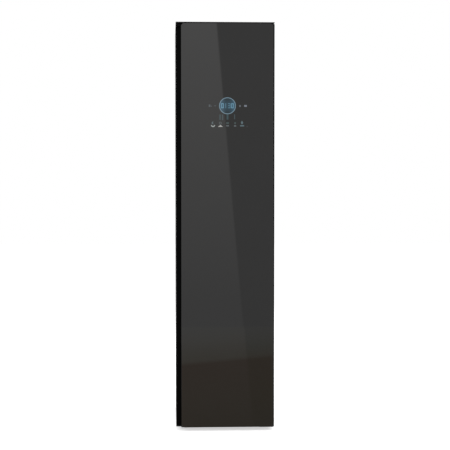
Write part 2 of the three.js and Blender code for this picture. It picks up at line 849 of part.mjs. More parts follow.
function carriage() {
  const wrapY = around(railY, railDepth + 2 * runGap + 2 * carriageWall);
  const wrapZ = [railBottom - runGap - carriageWall, carriageRoof];
  const block = box([-carriageHalf, carriageHalf], wrapY, wrapZ);
  const bore = box(
    [-carriageHalf - overrun, carriageHalf + overrun],
    around(railY, railDepth + 2 * runGap),
    [railBottom - runGap, railBottom + railThickness + runGap],
  );
  const slotHalf = crankPinRadius + yokeSlotSlack + runGap;
  const reach = crankRadius * Math.cos(THREE.MathUtils.degToRad(crankSwing));
  const slot = box(
    [-slotHalf, slotHalf],
    [railY + reach - slotHalf, railY + crankRadius + slotHalf],
    [carriageRoof - carriageWall - overrun, carriageRoof + overrun],
  );
  return piece('carriage', cut(block, bore, slot), darkPlastic);
}

const barTop = ceilingBottom - hangerBarDrop;
const barHeight = 20;
const barDepth = 16;
const barEndGap = 38;
const barHalf = mouthHalf - barEndGap;

function hangerBar() {
  const notchWidth = 9;
  const notchDepth = 5;
  const notchShares = [-0.8, -0.4, 0.4, 0.8];
  const notchPlaces = notchShares.map((share) => share * barHalf);
  const cornerRadius = 7;
  const barRing = roundedOutline(around(railY, barDepth), [barTop - barHeight, barTop], cornerRadius);
  const geometry = extruded(barRing, 2 * barHalf);
  geometry.applyMatrix4(drawnFromSide);
  geometry.translate(-barHalf, 0, 0);
  const notches = notchPlaces.map((x) => box(
    around(x, notchWidth),
    around(railY, barDepth + 2 * overrun),
    [barTop - notchDepth, barTop + overrun],
  ));
  const carriageUnder = railBottom - runGap - carriageWall;
  const posts = [-1, 1].map((s) => rod(
    'z', postRadius, [barTop - barHeight / 2, carriageUnder - seatGap], [s * postDistance / 2, railY],
  ));
  return piece('hanger_bar', join(cut(toSolid(geometry), ...notches), ...posts), bareSteel);
}

function crankDisc() {
  const discTop = crankDiscBottom + crankDiscThickness;
  const disc = rod('z', crankDiscRadius, [crankDiscBottom, discTop], [0, railY]);
  const pin = rod('z', crankPinRadius, [crankPinBottom, discTop], [0, railY + crankRadius]);
  const shaft = rod(
    'z', crankShaftRadius, [crankDiscBottom, bridgeTop], [0, railY],
  );
  return piece('crank_disc', join(disc, pin, shaft), bareSteel);
}

function gearmotor() {
  const gearboxWidth = 64;
  const gearboxDepth = 56;
  const gearboxHeight = 24;
  const motorRadius = gearmotorHeight / 2;
  const motorLength = 62;
  const bottom = bridgeTop + seatGap;
  const gearCase = topPlate(
    around(0, gearboxWidth), around(railY, gearboxDepth), [bottom, bottom + gearboxHeight], overrun,
  );
  const motor = rod(
    'x', motorRadius,
    [gearboxWidth / 2 - overrun, gearboxWidth / 2 + motorLength],
    [railY, bottom + motorRadius],
  );
  return piece('gearmotor', join(gearCase, motor), bareSteel);
}

function controlBox() {
  const controlWidth = 200;
  const controlDepth = 120;
  const controlHeight = 46;
  const backGap = 34;
  const lid = 4;
  const portWidth = 34;
  const portHeight = 12;
  const back = backPanelFront - backGap;
  const y = [back - controlDepth, back];
  const z = [ceilingTop + seatGap, ceilingTop + seatGap + controlHeight];
  const body = topPlate(around(0, controlWidth), y, z, lid);
  const cover = topPlate(around(0, controlWidth + 2 * lid), [y[0] - lid, y[1] + lid], [z[1] - lid, z[1]], lid);
  const port = box(around(0, portWidth), [y[0] - overrun, y[0] + lid], [z[0] + lid, z[0] + lid + portHeight]);
  return piece('control_box', cut(join(body, cover), port), darkPlastic);
}

// Door switch: a body behind the frame and a plunger that the closed door holds in.
const switchBody = { width: 30, height: 26, depth: 22 };
const plungerHead = 1.5;

function doorSwitch() {
  const y = [frameBack + seatGap, frameBack + seatGap + switchBody.depth];
  const body = box(around(plungerPlace[0], switchBody.width), y, around(plungerPlace[1], switchBody.height));
  const bore = rod('y', plungerRadius + runGap + plungerHead, [y[0] - overrun, y[1] - sheet], plungerPlace);
  return piece('door_switch', cut(body, bore), darkPlastic);
}

function switchPlunger() {
  const tailEnd = frameBack + switchBody.depth - sheet;
  const headRange = [tailEnd - switchBody.depth / 3, tailEnd - switchBody.depth / 6];
  const stem = rod('y', plungerRadius, [doorLinerBack + seatGap, tailEnd - seatGap], plungerPlace);
  const collar = rod('y', plungerRadius + plungerHead, headRange, plungerPlace);
  return piece('switch_plunger', join(stem, collar), lightPlastic);
}

// Air path under the chamber floor: duct, heat exchanger, blower.
const ductWall = 3;
const ductHeight = 150;
const ductSideGap = 5;
const ductTop = floorUnder - seatGap;
const ductBottom = ductTop - ductHeight;
const ductHalf = mouthHalf - ductSideGap;
const ductFront = bayBack + seatGap;
const ductBack = linerBackInner;
const blowerRadius = 36;
const blowerMotorLength = 36.4;
const blowerBackGap = 12;
const blowerLift = 30;
const blowerHalf = ductHalf - blowerMotorLength - 7 * ductWall - 2 * seatGap;
const blowerY = ductBack - ductWall - blowerRadius - blowerBackGap;
const blowerZ = ductBottom + ductWall + blowerRadius + blowerLift;
const blowerShaftRadius = 4;
const coreSideGap = 33;
const coreHalf = ductHalf - coreSideGap;
const coreDepth = 34;
const coreGap = 8;
const coreHeight = 118;
const coreFrontGap = 6;
const coreFront = ductFront + ductWall + coreFrontGap;
const drainSideInset = 75;
const drainFromFront = 26;
const drainPlace = [ductHalf - drainSideInset, ductFront + drainFromFront];
const drainRadius = 6;

function ductCase() {
  const outer = box([-ductHalf, ductHalf], [ductFront, ductBack], [ductBottom, ductTop]);
  const hollow = box(
    [ductWall - ductHalf, ductHalf - ductWall],
    [ductFront + ductWall, ductBack - ductWall],
    [ductBottom + ductWall, ductTop + overrun],
  );
  const ledge = 6;
  const ledgeZ = [filterBottom - seatGap - ductWall, filterBottom - seatGap];
  const seatOuter = box(
    [ductWall / 2 - ductHalf, ductHalf - ductWall / 2],
    [ductFront + ductWall / 2, filterCentreY + filterSize.depth / 2 + 2 * ductWall],
    ledgeZ,
  );
  const seatWindow = box(
    around(0, 2 * (filterHalf - ledge)),
    around(filterCentreY, filterSize.depth - 2 * ledge),
    [ledgeZ[0] - overrun, ledgeZ[1] + overrun],
  );
  const bearings = [-1, 1].map((s) => box(
    around(s * (blowerHalf + 4 * ductWall), 2 * ductWall),
    around(blowerY, 5 * blowerShaftRadius),
    [ductBottom + ductWall / 2, blowerZ + 3 * blowerShaftRadius],
  ));
  const bearingBores = rod(
    'x', blowerShaftRadius + seatGap,
    around(0, 2 * (blowerHalf + 6 * ductWall)), [blowerY, blowerZ],
  );
  const drain = rod('z', drainRadius, [ductBottom - overrun, ductBottom + ductWall + overrun], drainPlace);
  const shell = join(cut(outer, hollow), cut(seatOuter, seatWindow), cut(join(...bearings), bearingBores));
  return piece('duct_case', cut(shell, drain), darkPlastic);
}

function heatExchanger() {
  const slotCount = 11;
  const slotWidth = 7;
  const slotDepthShare = 0.38;
  const slotMargin = 20;
  const bridgeWidth = 10;
  const bottom = ductBottom + ductWall + seatGap;
  const z = [bottom, bottom + coreHeight];
  const pitch = 2 * (coreHalf - slotMargin) / (slotCount - 1);
  const cores = [0, 1].map((i) => {
    const y = [coreFront + i * (coreDepth + coreGap), coreFront + i * (coreDepth + coreGap) + coreDepth];
    const depth = slotDepthShare * coreDepth;
    const slots = Array.from({ length: slotCount }, (unused, k) => {
      const x = around((k - (slotCount - 1) / 2) * pitch, slotWidth);
      const front = box(x, [y[0] - overrun, y[0] + depth], [z[0] + bridgeWidth, z[1] - bridgeWidth]);
      const back = box(x, [y[1] - depth, y[1] + overrun], [z[0] + bridgeWidth, z[1] - bridgeWidth]);
      return join(front, back);
    });
    return cut(box([-coreHalf, coreHalf], y, z), ...slots);
  });
  const bridges = [-1, 1].map((s) => box(
    around(s * (coreHalf - bridgeWidth / 2), bridgeWidth),
    [coreFront, coreFront + 2 * coreDepth + coreGap],
    z,
  ));
  return piece('heat_exchanger', join(...cores, ...bridges), bareSteel);
}

function blowerWheel() {
  const bladeCount = 12;
  const bladeThickness = 1.6;
  const bladeDepth = 12;
  const discThickness = 3;
  const shaftHalf = blowerHalf + 6 * ductWall;
  const wheel = [-1, 0, 1].map((i) => rod(
    'x', blowerRadius,
    around(i * (blowerHalf - discThickness / 2), discThickness), [0, 0],
  ));
  const blade = box(
    [-blowerHalf, blowerHalf],
    [blowerRadius - bladeDepth, blowerRadius - discThickness / 2],
    around(0, bladeThickness),
  );
  const blades = turnedAbout('x', blade, bladeCount);
  const shaft = rod('x', blowerShaftRadius, [-shaftHalf, shaftHalf], [0, 0]);
  const made = piece('blower_wheel', join(...wheel, ...blades, shaft), darkPlastic);
  made.position.set(0, blowerY, blowerZ);
  return made;
}

function blowerMotor() {
  const motorRadius = 26;
  const x = [blowerHalf + 6 * ductWall + seatGap, ductHalf - ductWall - seatGap];
  const motor = rod('x', motorRadius, x, [blowerY, blowerZ]);
  const foot = box(
    x, around(blowerY, 2 * motorRadius), [ductBottom + ductWall + seatGap, blowerZ - motorRadius / 2],
  );
  return piece('blower_motor', join(motor, foot), bareSteel);
}

// Machine room: compressor, cooling fan, steam generator, feed pump and their hoses.
const compressorRadius = 58;
const compressorSideInset = 102.5;
const compressorFromBack = 130.5;
const compressorPlace = [compressorSideInset - innerSide, backPanelFront - compressorFromBack];
const compressorHeadroom = 19;
const compressorFeet = 14;

function compressor() {
  const dome = 22;
  const plateWidth = 150;
  const plateThickness = 4;
  const grommetRadius = 11;
  const grommetInset = 18;
  const terminalWidth = 44;
  const terminalDepth = 20;
  const terminalHeight = 46;
  const stubRadius = 5;
  const stubLength = 24;
  const bottom = baseTop + seatGap;
  const plateZ = [bottom + compressorFeet, bottom + compressorFeet + plateThickness];
  const canTop = ductBottom - compressorHeadroom - stubLength;
  const radiusShares = { bottom: 0.72, lowBend: 0.94, highBend: 0.9, crown: 0.5 };
  const profile = [
    [0, plateZ[1] - plateThickness / 2],
    [compressorRadius * radiusShares.bottom, plateZ[1] - plateThickness / 2],
    [compressorRadius * radiusShares.lowBend, plateZ[1] + dome / 2],
    [compressorRadius, plateZ[1] + dome],
    [compressorRadius, canTop - dome],
    [compressorRadius * radiusShares.highBend, canTop - dome / 3],
    [compressorRadius * radiusShares.crown, canTop - dome / 12],
    [0, canTop],
  ];
  const can = lathe(profile, [...compressorPlace, 0], sidesFor(dome));
  const base = topPlate(
    around(compressorPlace[0], plateWidth), around(compressorPlace[1], plateWidth), plateZ, grommetInset / 2,
  );
  const reach = plateWidth / 2 - grommetInset;
  const grommets = [[-1, -1], [-1, 1], [1, -1], [1, 1]].map(([sx, sy]) => rod(
    'z', grommetRadius, [bottom, plateZ[1] + plateThickness],
    [compressorPlace[0] + sx * reach, compressorPlace[1] + sy * reach],
  ));
  const canFront = compressorPlace[1] - compressorRadius;
  const terminalBox = box(
    around(compressorPlace[0], terminalWidth),
    [canFront - terminalDepth / 2, canFront + terminalDepth],
    around((plateZ[1] + canTop) / 2, terminalHeight),
  );
  const stub = rod('z', stubRadius, [canTop - dome, canTop + stubLength], compressorPlace);
  return piece('compressor', join(can, base, terminalBox, stub, ...grommets), blackTrim);
}

const shroudDepth = 26;
const shroudHalf = 62;
const shroudBack = backPanelFront - seatGap;

function fanShroud() {
  const spoke = 6;
  const hubRadius = 17;
  const backWall = 3;
  const y = [shroudBack - shroudDepth, shroudBack];
  const x = around(fanCentre[0], 2 * shroudHalf);
  const z = around(fanCentre[1], 2 * shroudHalf);
  const frame = frontPlate(x, y, z, spoke);
  const throat = rod('y', fanRadius + runGap * 4, [y[0] - overrun, y[1] + overrun], fanCentre);
  const spokes = [
    box(x, [y[1] - backWall, y[1]], around(fanCentre[1], spoke)),
    box(around(fanCentre[0], spoke), [y[1] - backWall, y[1]], z),
    rod('y', hubRadius, [y[1] - backWall, y[1]], fanCentre),
    rod('y', hubRadius / 4, [y[0] + backWall, y[1]], fanCentre),
  ];
  return piece('fan_shroud', join(cut(frame, throat), ...spokes), darkPlastic);
}

function coolingFan() {
  const bladeCount = 7;
  const bladeThickness = 2;
  const hubRadius = 17;
  const pitchAngle = 32;
  const backWall = 3;
  const depth = shroudDepth - 3 * backWall;
  const centreY = shroudBack - backWall - runGap - depth / 2;
  const hub = rod('y', hubRadius, around(0, depth), [0, 0]);
  const bore = rod('y', hubRadius / 4 + runGap / 2, around(0, depth + 2 * overrun), [0, 0]);
  const chordShare = 0.8;
  const chord = depth * chordShare / Math.sin(THREE.MathUtils.degToRad(pitchAngle));
  const blade = box(around(0, bladeThickness), around(0, chord), [hubRadius - overrun, fanRadius])
    .rotate([0, 0, 90 - pitchAngle]);
  const blades = turnedAbout('y', blade, bladeCount);
  const made = piece('cooling_fan', cut(join(hub, ...blades), bore), darkPlastic);
  made.position.set(fanCentre[0], centreY, fanCentre[1]);
  return made;
}

const generatorSize = { width: 146, depth: 104, height: 96, footHeight: 8 };
const generatorSideInset = 44.5;
const generatorFromFront = 205.5;
const generator = {
  x: [innerSide - generatorSideInset - generatorSize.width, innerSide - generatorSideInset],
  y: [linerFront + generatorFromFront, linerFront + generatorFromFront + generatorSize.depth],
};
const generatorBottom = baseTop + seatGap;
const generatorTop = generatorBottom + generatorSize.footHeight + generatorSize.height;
const steamPortInset = [42, 62];
const steamPort = [generator.x[0] + steamPortInset[0], generator.y[0] + steamPortInset[1]];
const feedPort = { inset: 34, rise: 30 };
const portRadius = 6;
const portLength = 12;

function steamGenerator() {
  const cornerRadius = 10;
  const lidLap = 4;
  const heater = { radius: 14, length: 16 };
  const bodyZ = [generatorBottom + generatorSize.footHeight, generatorTop];
  const body = topPlate(generator.x, generator.y, bodyZ, cornerRadius);
  const lid = topPlate(
    [generator.x[0] - lidLap, generator.x[1] + lidLap],
    [generator.y[0] - lidLap, generator.y[1] + lidLap],
    [generatorTop - 2 * lidLap, generatorTop - lidLap],
    cornerRadius + lidLap,
  );
  const feet = [[0, 0], [0, 1], [1, 0], [1, 1]].map(([ix, iy]) => box(
    around(generator.x[ix] + (ix ? -2 : 2) * cornerRadius, cornerRadius * 2),
    around(generator.y[iy] + (iy ? -2 : 2) * cornerRadius, cornerRadius * 2),
    [generatorBottom, bodyZ[0] + lidLap],
  ));
  const flange = rod(
    'y', heater.radius, [generator.y[0] - heater.length, generator.y[0] + lidLap],
    [middle(generator.x), middle(bodyZ)],
  );
  const steamOut = rod('z', portRadius, [generatorTop - lidLap, generatorTop + portLength], steamPort);
  const feedIn = rod(
    'x', portRadius, [generator.x[0] - portLength, generator.x[0] + lidLap],
    [generator.y[0] + feedPort.inset, generatorBottom + generatorSize.footHeight + feedPort.rise],
  );
  return piece('steam_generator', join(body, lid, flange, steamOut, feedIn, ...feet), bareSteel);
}

function steamHose() {
  const radius = 7;
  const run = (linerBack + foamBackThickness + backPanelFront) / 2;
  const start = [steamPort[0], steamPort[1], generatorTop + portLength + seatGap];
  const end = [0, nozzleStemEnd + seatGap, nozzleZ];
  const climb = ductBottom - start[2];
  const across = run - start[1];
  const points = [
    start,
    [start[0], start[1], start[2] + 2 * radius],
    [start[0] / 2, start[1] + across / 4, start[2] + climb / 4],
    [end[0], start[1] + across * 2 / 3, start[2] + climb / 3],
    [end[0], run - radius, start[2] + climb * 3 / 4],
    [end[0], run, ductBottom + radius],
    [end[0], run, (ductBottom + end[2]) / 2],
    [end[0], run - radius / 2, end[2] - 2 * radius],
    [end[0], end[1] + radius, end[2]],
    end,
  ];
  return piece('steam_hose', pipe(points, radius, 26, 8), rubber);
}

const pumpSize = { length: 88, radius: 20, bracket: 12, sideInset: 70.5, setback: 93.5 };
const pumpLeft = pumpSize.sideInset - innerSide;
const pump = {
  x: [pumpLeft, pumpLeft + pumpSize.length],
  y: linerFront + pumpSize.setback,
  radius: pumpSize.radius,
};
const pumpZ = baseTop + seatGap + pumpSize.bracket + pump.radius;
const pumpHead = { length: 26, radius: 16 };

function feedPump() {
  const bracketWidth = 40;
  const bottom = baseTop + seatGap;
  const motor = rod('x', pump.radius, [pump.x[0] + pumpHead.length, pump.x[1]], [pump.y, pumpZ]);
  const head = rod('x', pumpHead.radius, [pump.x[0], pump.x[0] + pumpHead.length + overrun], [pump.y, pumpZ]);
  const bracket = box(
    around(middle(pump.x), bracketWidth), around(pump.y, bracketWidth), [bottom, pumpZ - pump.radius / 2],
  );
  const inletStub = rod(
    'z', portRadius, [pumpZ, pumpZ + pumpHead.radius + portLength], [pump.x[0] + pumpHead.length / 2, pump.y],
  );
  return piece('feed_pump', join(motor, head, bracket, inletStub), darkPlastic);
}

// The feed hose runs from the supply tank's valve in the bay floor down to the pump.
function feedHose() {
  const radius = 6;
  const headCentre = pump.x[0] + pumpHead.length / 2;
  const top = mouthBottom - linerWall - seatGap;
  const bottom = pumpZ + pumpHead.radius + portLength + seatGap;
  const drop = top - bottom;
  const points = [
    [-tankCentreX, valveY, top],
    [-tankCentreX, valveY, top - drop / 9],
    [(headCentre - tankCentreX) / 2, (pump.y + valveY) / 2, (top + bottom) / 2],
    [headCentre, pump.y, bottom + drop / 9],
    [headCentre, pump.y, bottom],
  ];
  const collar = rod('z', radius * 2, [top - radius, top], [-tankCentreX, valveY]);
  return piece('feed_hose', join(pipe(points, radius, 14, 8), collar), rubber);
}

// Door: glass, shell, end caps, grip profile, inner liner, gasket and the display behind the glass.
const gripWall = 2.5;
const gripUndercut = 12;
const gripBandSetback = 24.5;
const gripReveal = 1;
const glassLeft = leftFace + gripBandWidth;
const glassRight = rightFace - glassRightMargin;
const gripInner = glassLeft + gripUndercut + gripWall;
const bandFront = frontFace + gripBandSetback;
const capBottomTop = doorBottom + doorCapHeight;
const capTopBottom = doorTop - doorCapHeight;
const displayDrop = 374;
const displayCentre = [(glassLeft + glassRight) / 2, overallHeight - displayDrop];
const displayWindow = { width: 150, height: 120 };

function doorGlass() {
  const y = [frontFace, frontFace + glassThickness];
  return piece(
    'door_glass',
    frontPlate([glassLeft, glassRight], y, [doorBottom, glassTop], glassCornerRadius),
    tintedGlass,
  );
}

function doorShell() {
  const x = [gripInner + seatGap, rightFace];
  const z = [capBottomTop + seatGap, capTopBottom - seatGap];
  const outer = box(x, [shellFront, shellBack], z);
  const hollow = box(
    [x[0] + doorSheet, x[1] - doorSheet],
    [shellFront + doorSheet, shellBack + overrun],
    [z[0] + doorSheet, z[1] - doorSheet],
  );
  const window = box(
    around(displayCentre[0], displayWindow.width),
    [shellFront - overrun, shellFront + doorSheet + overrun],
    around(displayCentre[1], displayWindow.height),
  );
  return piece('door_shell', cut(outer, hollow, window), blackSteel);
}

function gripProfile() {
  const lipLeft = glassLeft + gripReveal;
  const lipBack = shellFront + gripWall;
  const bandBack = bandFront + gripWall;
  const webInner = gripInner - gripWall;
  const section = new THREE.Shape([
    [lipLeft, shellFront],
    [gripInner, shellFront],
    [gripInner, shellBack],
    [webInner, shellBack],
    [webInner, bandBack],
    [leftFace + gripWall, bandBack],
    [leftFace + gripWall, shellBack],
    [leftFace, shellBack],
    [leftFace, bandFront],
    [webInner, bandFront],
    [webInner, lipBack],
    [lipLeft, lipBack],
  ].map((p) => new THREE.Vector2(...p)));
  const z = [capBottomTop + seatGap, capTopBottom - seatGap];
  const geometry = extruded(section, z[1] - z[0]);
  geometry.translate(0, 0, z[0]);
  return piece('grip_profile', toSolid(geometry), blackTrim);
}

// The end caps close the shell and the grip, and carry the hinge bores.
function doorCap(name, z, boreZ, open) {
  const plate = box([leftFace, rightFace], [shellFront, shellBack], z);
  const bore = rod('z', hingePinRadius + runGap, boreZ, [hingeX, hingeY]);
  const notch = box(
    [leftFace - overrun, glassLeft],
    [shellFront - overrun, bandFront],
    [z[0] - overrun, z[1] + overrun],
  );
  return piece(name, open ? cut(plate, bore, notch) : cut(plate, bore), blackTrim);
}

function doorTopCap() {
  const z = [capTopBottom, doorTop];
  return doorCap('door_top_cap', z, [z[0] - overrun, z[1] + overrun], false);
}

function doorBottomCap() {
  const z = [doorBottom, capBottomTop];
  return doorCap('door_bottom_cap', z, [z[0] - overrun, z[1] + overrun], true);
}

const dikeMargin = 6;
const dikeWidth = 14;
const dikeHeight = 10;
const dikeBack = cabinetFront + dikeHeight;
const linerInset = 2;

function doorLiner() {
  const cornerRadius = 8;
  const x = [leftFace + linerInset, rightFace - linerInset];
  const z = [doorBottom + linerInset, doorTop - linerInset];
  const plate = frontPlate(x, [doorLinerFront, doorLinerBack], z, linerInset);
  const dikeX = mouthHalf - dikeMargin;
  const dikeZ = [mouthBottom + dikeMargin, ceilingBottom - dikeMargin];
  const ring = frontPlate([-dikeX, dikeX], [doorLinerBack - doorSheet / 2, dikeBack], dikeZ, cornerRadius);
  const pocket = box(
    [dikeWidth - dikeX, dikeX - dikeWidth],
    [doorLinerBack, dikeBack + overrun],
    [dikeZ[0] + dikeWidth, dikeZ[1] - dikeWidth],
  );
  return piece('door_liner', join(plate, cut(ring, pocket)), lightPlastic);
}

function doorGasket() {
  const cornerRadius = 14;
  const inner = mouthHalf + gasketMargin;
  const outer = inner + gasketWidth;
  const y = [gasketFront, gasketFront + gasketThickness];
  const innerZ = [mouthBottom - gasketMargin, ceilingBottom + gasketMargin];
  const outerZ = [innerZ[0] - gasketWidth, innerZ[1] + gasketWidth];
  const loop = frontPlate([-outer, outer], y, outerZ, cornerRadius);
  const through = [y[0] - overrun, y[1] + overrun];
  const hole = frontPlate([-inner, inner], through, innerZ, cornerRadius - gasketWidth);
  return piece('door_gasket', cut(loop, hole), rubber);
}

function displayBoard() {
  const boardMargin = 2;
  const boardThickness = 1.6;
  const wellRadius = 36;
  const wellWall = 2;
  const flangeLap = 6;
  const front = shellFront + seatGap;
  const boardFront = shellFront + doorSheet + seatGap;
  const board = box(
    around(displayCentre[0], displayWindow.width + 2 * flangeLap),
    [boardFront, boardFront + boardThickness],
    around(displayCentre[1], displayWindow.height + 2 * flangeLap),
  );
  const guide = box(
    around(displayCentre[0], displayWindow.width - 2 * boardMargin),
    [front, boardFront + boardThickness / 2],
    around(displayCentre[1], displayWindow.height - 2 * boardMargin),
  );
  const well = cut(
    rod('y', wellRadius, [front - overrun, front + boardThickness], displayCentre),
    rod('y', wellRadius - wellWall, [front - 2 * overrun, front + overrun + boardThickness], displayCentre),
  );
  return piece('display_board', join(board, cut(guide, well)), boardGreen);
}

// Trouser press on the door liner: a base board, a clamping panel on a long vertical pin.
const pressSideGap = 50;
const pressHalf = mouthHalf - pressSideGap;
const pressRise = 430;
const pressUnderCeiling = 260;
const pressBaseThickness = 7;
const pressPanelThickness = 10;
const pressGap = 2.5;
const pressBottom = chamberFloor + pressRise;
const pressTop = ceilingBottom - pressUnderCeiling;
const pressBaseBack = doorLinerBack + seatGap + pressBaseThickness;
const pressPanelFront = pressBaseBack + pressGap;
const pressPinRadius = 2.5;
const knuckleRadius = 5.5;
const pressPinReach = 8.5;
const pressPinX = pressHalf + pressPinReach;
const pressPinY = pressPanelFront + pressPanelThickness / 2;
const knuckleLength = 40;
const knuckleEnd = 70;

// Knuckle ranges: the base holds the pin outside the panel's knuckles.
const knuckleStarts = [pressBottom + knuckleEnd, pressTop - knuckleEnd - knuckleLength];

function pressBase() {
  const cornerRadius = 10;
  const y = [doorLinerBack + seatGap, pressBaseBack];
  const plate = frontPlate([-pressHalf, pressPinX + knuckleRadius], y, [pressBottom, pressTop], cornerRadius);
  const earLength = knuckleLength / 2;
  const ears = knuckleStarts.flatMap((z) => [z - runGap - earLength, z + knuckleLength + runGap]).map((z) => {
    const range = [z, z + earLength];
    return join(
      box(around(pressPinX, 2 * knuckleRadius), [pressBaseBack - pressBaseThickness / 2, pressPinY], range),
      rod('z', knuckleRadius, range, [pressPinX, pressPinY]),
    );
  });
  const bore = rod('z', pressPinRadius + seatGap, [pressBottom, pressTop], [pressPinX, pressPinY]);
  return piece('press_base', cut(join(plate, ...ears), bore), darkPlastic);
}

function pressPanel() {
  const cornerRadius = 10;
  const ribWidth = 10;
  const ribHeight = 3;
  const ribCount = 3;
  const ribPitchShare = 0.6;
  const fingerHeight = 60;
  const fingerWidth = 14;
  const y = [pressPanelFront, pressPanelFront + pressPanelThickness];
  const slab = frontPlate([-pressHalf, pressHalf], y, [pressBottom, pressTop], cornerRadius);
  const grooves = Array.from({ length: ribCount }, (unused, i) => box(
    around((i - (ribCount - 1) / 2) * pressHalf * ribPitchShare, ribWidth),
    [y[1] - ribHeight, y[1] + overrun],
    [pressBottom + 4 * cornerRadius, pressTop - 4 * cornerRadius],
  ));
  const knuckles = knuckleStarts.map((z) => {
    const range = [z, z + knuckleLength];
    return join(
      rod('z', knuckleRadius, range, [pressPinX, pressPinY]),
      box([pressHalf - overrun, pressPinX], [pressPinY - pressPinRadius, pressPinY + knuckleRadius], range),
    );
  });
  const finger = box(
    [-pressHalf - fingerWidth, overrun - pressHalf],
    [middle(y), y[1]],
    around((pressBottom + pressTop) / 2, fingerHeight),
  );
  const bore = rod('z', pressPinRadius + seatGap, [pressBottom, pressTop], [pressPinX, pressPinY]);
  return piece('press_panel', cut(join(cut(slab, ...grooves), finger, ...knuckles), bore), darkPlastic);
}

function pressPin() {
  const headRadius = 4.5;
  const headLength = 3;
  const earLength = knuckleLength / 2;
  const low = knuckleStarts[0] - runGap - earLength;
  const high = knuckleStarts[1] + knuckleLength + runGap + earLength;
  const shaft = rod('z', pressPinRadius, [low, high + headLength], [pressPinX, pressPinY]);
  const head = rod('z', headRadius, [high + seatGap, high + seatGap + headLength], [pressPinX, pressPinY]);
  return piece('press_pin', join(shaft, head), bareSteel);
}

// Assembly.
const cabinetShell = group(
  basePan(),
  sidePanel('side_panel_left', -1),
  sidePanel('side_panel_right', 1),
  topCover(),
  backPanel(),
  frontFrame(),
  serviceCover(),
  cableGland(),
  upperHinge(),
  lowerHinge(),
  ...footPlaces.map(foot),
);
const chamber = group(
  chamberLiner(),
  insulationJacket(),
  chamberLamp(),
  steamNozzle(),
  outletGrille(),
  shelf(),
  lintFilter(),
  tankBay(),
  tank('supply', -1),
  tank('drain', 1),
);
const topRoom = group(
  driveFrame(),
  carriage(),
  hangerBar(),
  crankDisc(),
  gearmotor(),
  controlBox(),
  doorSwitch(),
  switchPlunger(),
);
const machineRoom = group(
  ductCase(),
  heatExchanger(),
  blowerWheel(),
  blowerMotor(),
  compressor(),
  fanShroud(),
  coolingFan(),
  steamGenerator(),
  steamHose(),
  feedPump(),
  feedHose(),
);
const door = group(
  doorGlass(),
  doorShell(),
  gripProfile(),
  doorTopCap(),
  doorBottomCap(),
  doorLiner(),
  doorGasket(),
  displayBoard(),
  pressBase(),
  pressPanel(),
  pressPin(),
);

export default group(cabinetShell, chamber, topRoom, machineRoom, door);
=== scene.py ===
# %% [markdown]
# # A clothes care steam cabinet, dressed from one photograph
# The cabinet is a tall, narrow wardrobe that steams and shakes clothes clean. The solids of every part
# already exist, to scale, and move on their real joints. This script gives them finishes and lays finer
# pieces over them. It never moves or reshapes a solid, so that whatever looks right also measures right.

# %% Load the solids
import json
import math
import bmesh
import bpy
from mathutils import Matrix, Vector

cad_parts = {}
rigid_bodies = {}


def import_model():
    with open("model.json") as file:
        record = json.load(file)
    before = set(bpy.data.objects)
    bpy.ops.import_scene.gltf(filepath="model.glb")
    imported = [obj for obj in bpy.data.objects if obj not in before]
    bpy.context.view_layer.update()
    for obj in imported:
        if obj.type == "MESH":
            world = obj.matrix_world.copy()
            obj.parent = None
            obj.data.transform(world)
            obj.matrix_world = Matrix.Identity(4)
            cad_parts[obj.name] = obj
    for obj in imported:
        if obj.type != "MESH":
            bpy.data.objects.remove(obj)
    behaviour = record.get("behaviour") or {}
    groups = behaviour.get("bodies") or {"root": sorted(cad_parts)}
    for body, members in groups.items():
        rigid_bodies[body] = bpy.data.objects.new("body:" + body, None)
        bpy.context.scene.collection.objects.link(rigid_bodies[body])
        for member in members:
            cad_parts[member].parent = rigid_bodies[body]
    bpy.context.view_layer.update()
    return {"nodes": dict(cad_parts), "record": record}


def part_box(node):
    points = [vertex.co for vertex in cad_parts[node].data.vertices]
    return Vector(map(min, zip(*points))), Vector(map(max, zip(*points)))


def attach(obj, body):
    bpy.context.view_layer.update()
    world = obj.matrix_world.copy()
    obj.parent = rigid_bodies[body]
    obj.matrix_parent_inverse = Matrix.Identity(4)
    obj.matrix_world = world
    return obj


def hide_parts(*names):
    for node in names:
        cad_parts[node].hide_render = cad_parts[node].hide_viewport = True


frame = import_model()
record = frame["record"]
slot_of = {row["node"]: row["material_slot"] for row in record["subparts"]}
body_of = {node: body for body, nodes in record["behaviour"]["bodies"].items() for node in nodes}

# %% [markdown]
# ## The camera
# The photographer stood far back, a little to the left and at chest height, so both long edges look
# almost parallel. The place of the eye was found by fitting the outline of the door, whose size is
# known, to its outline in the picture, which brings every edge to within a pixel.

# %% Camera
MM = 0.001
IMAGE = 450
FOCAL = 1214.66
SENSOR = 36.0
EYE = Vector((-0.24877, -5.76588, 1.17751))
YAW = 0.0452
PITCH = 0.0436


def object_of(name, data):
    """A new object in the scene."""
    made = bpy.data.objects.new(name, data)
    bpy.context.scene.collection.objects.link(made)
    return made


lens = bpy.data.cameras.new("photo_lens")
lens.sensor_width = SENSOR
lens.lens = FOCAL / IMAGE * SENSOR
camera = object_of("photo_camera", lens)
camera.location = EYE
camera.rotation_euler = (math.pi / 2 - PITCH, 0, -YAW)
bpy.context.scene.camera = camera
print("lens", round(lens.lens, 1), "mm, eye", tuple(EYE))

# %% From a pixel to a place on the glass
GLASS_LOW, GLASS_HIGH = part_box("door_glass")
GLASS_FACE = GLASS_LOW.y


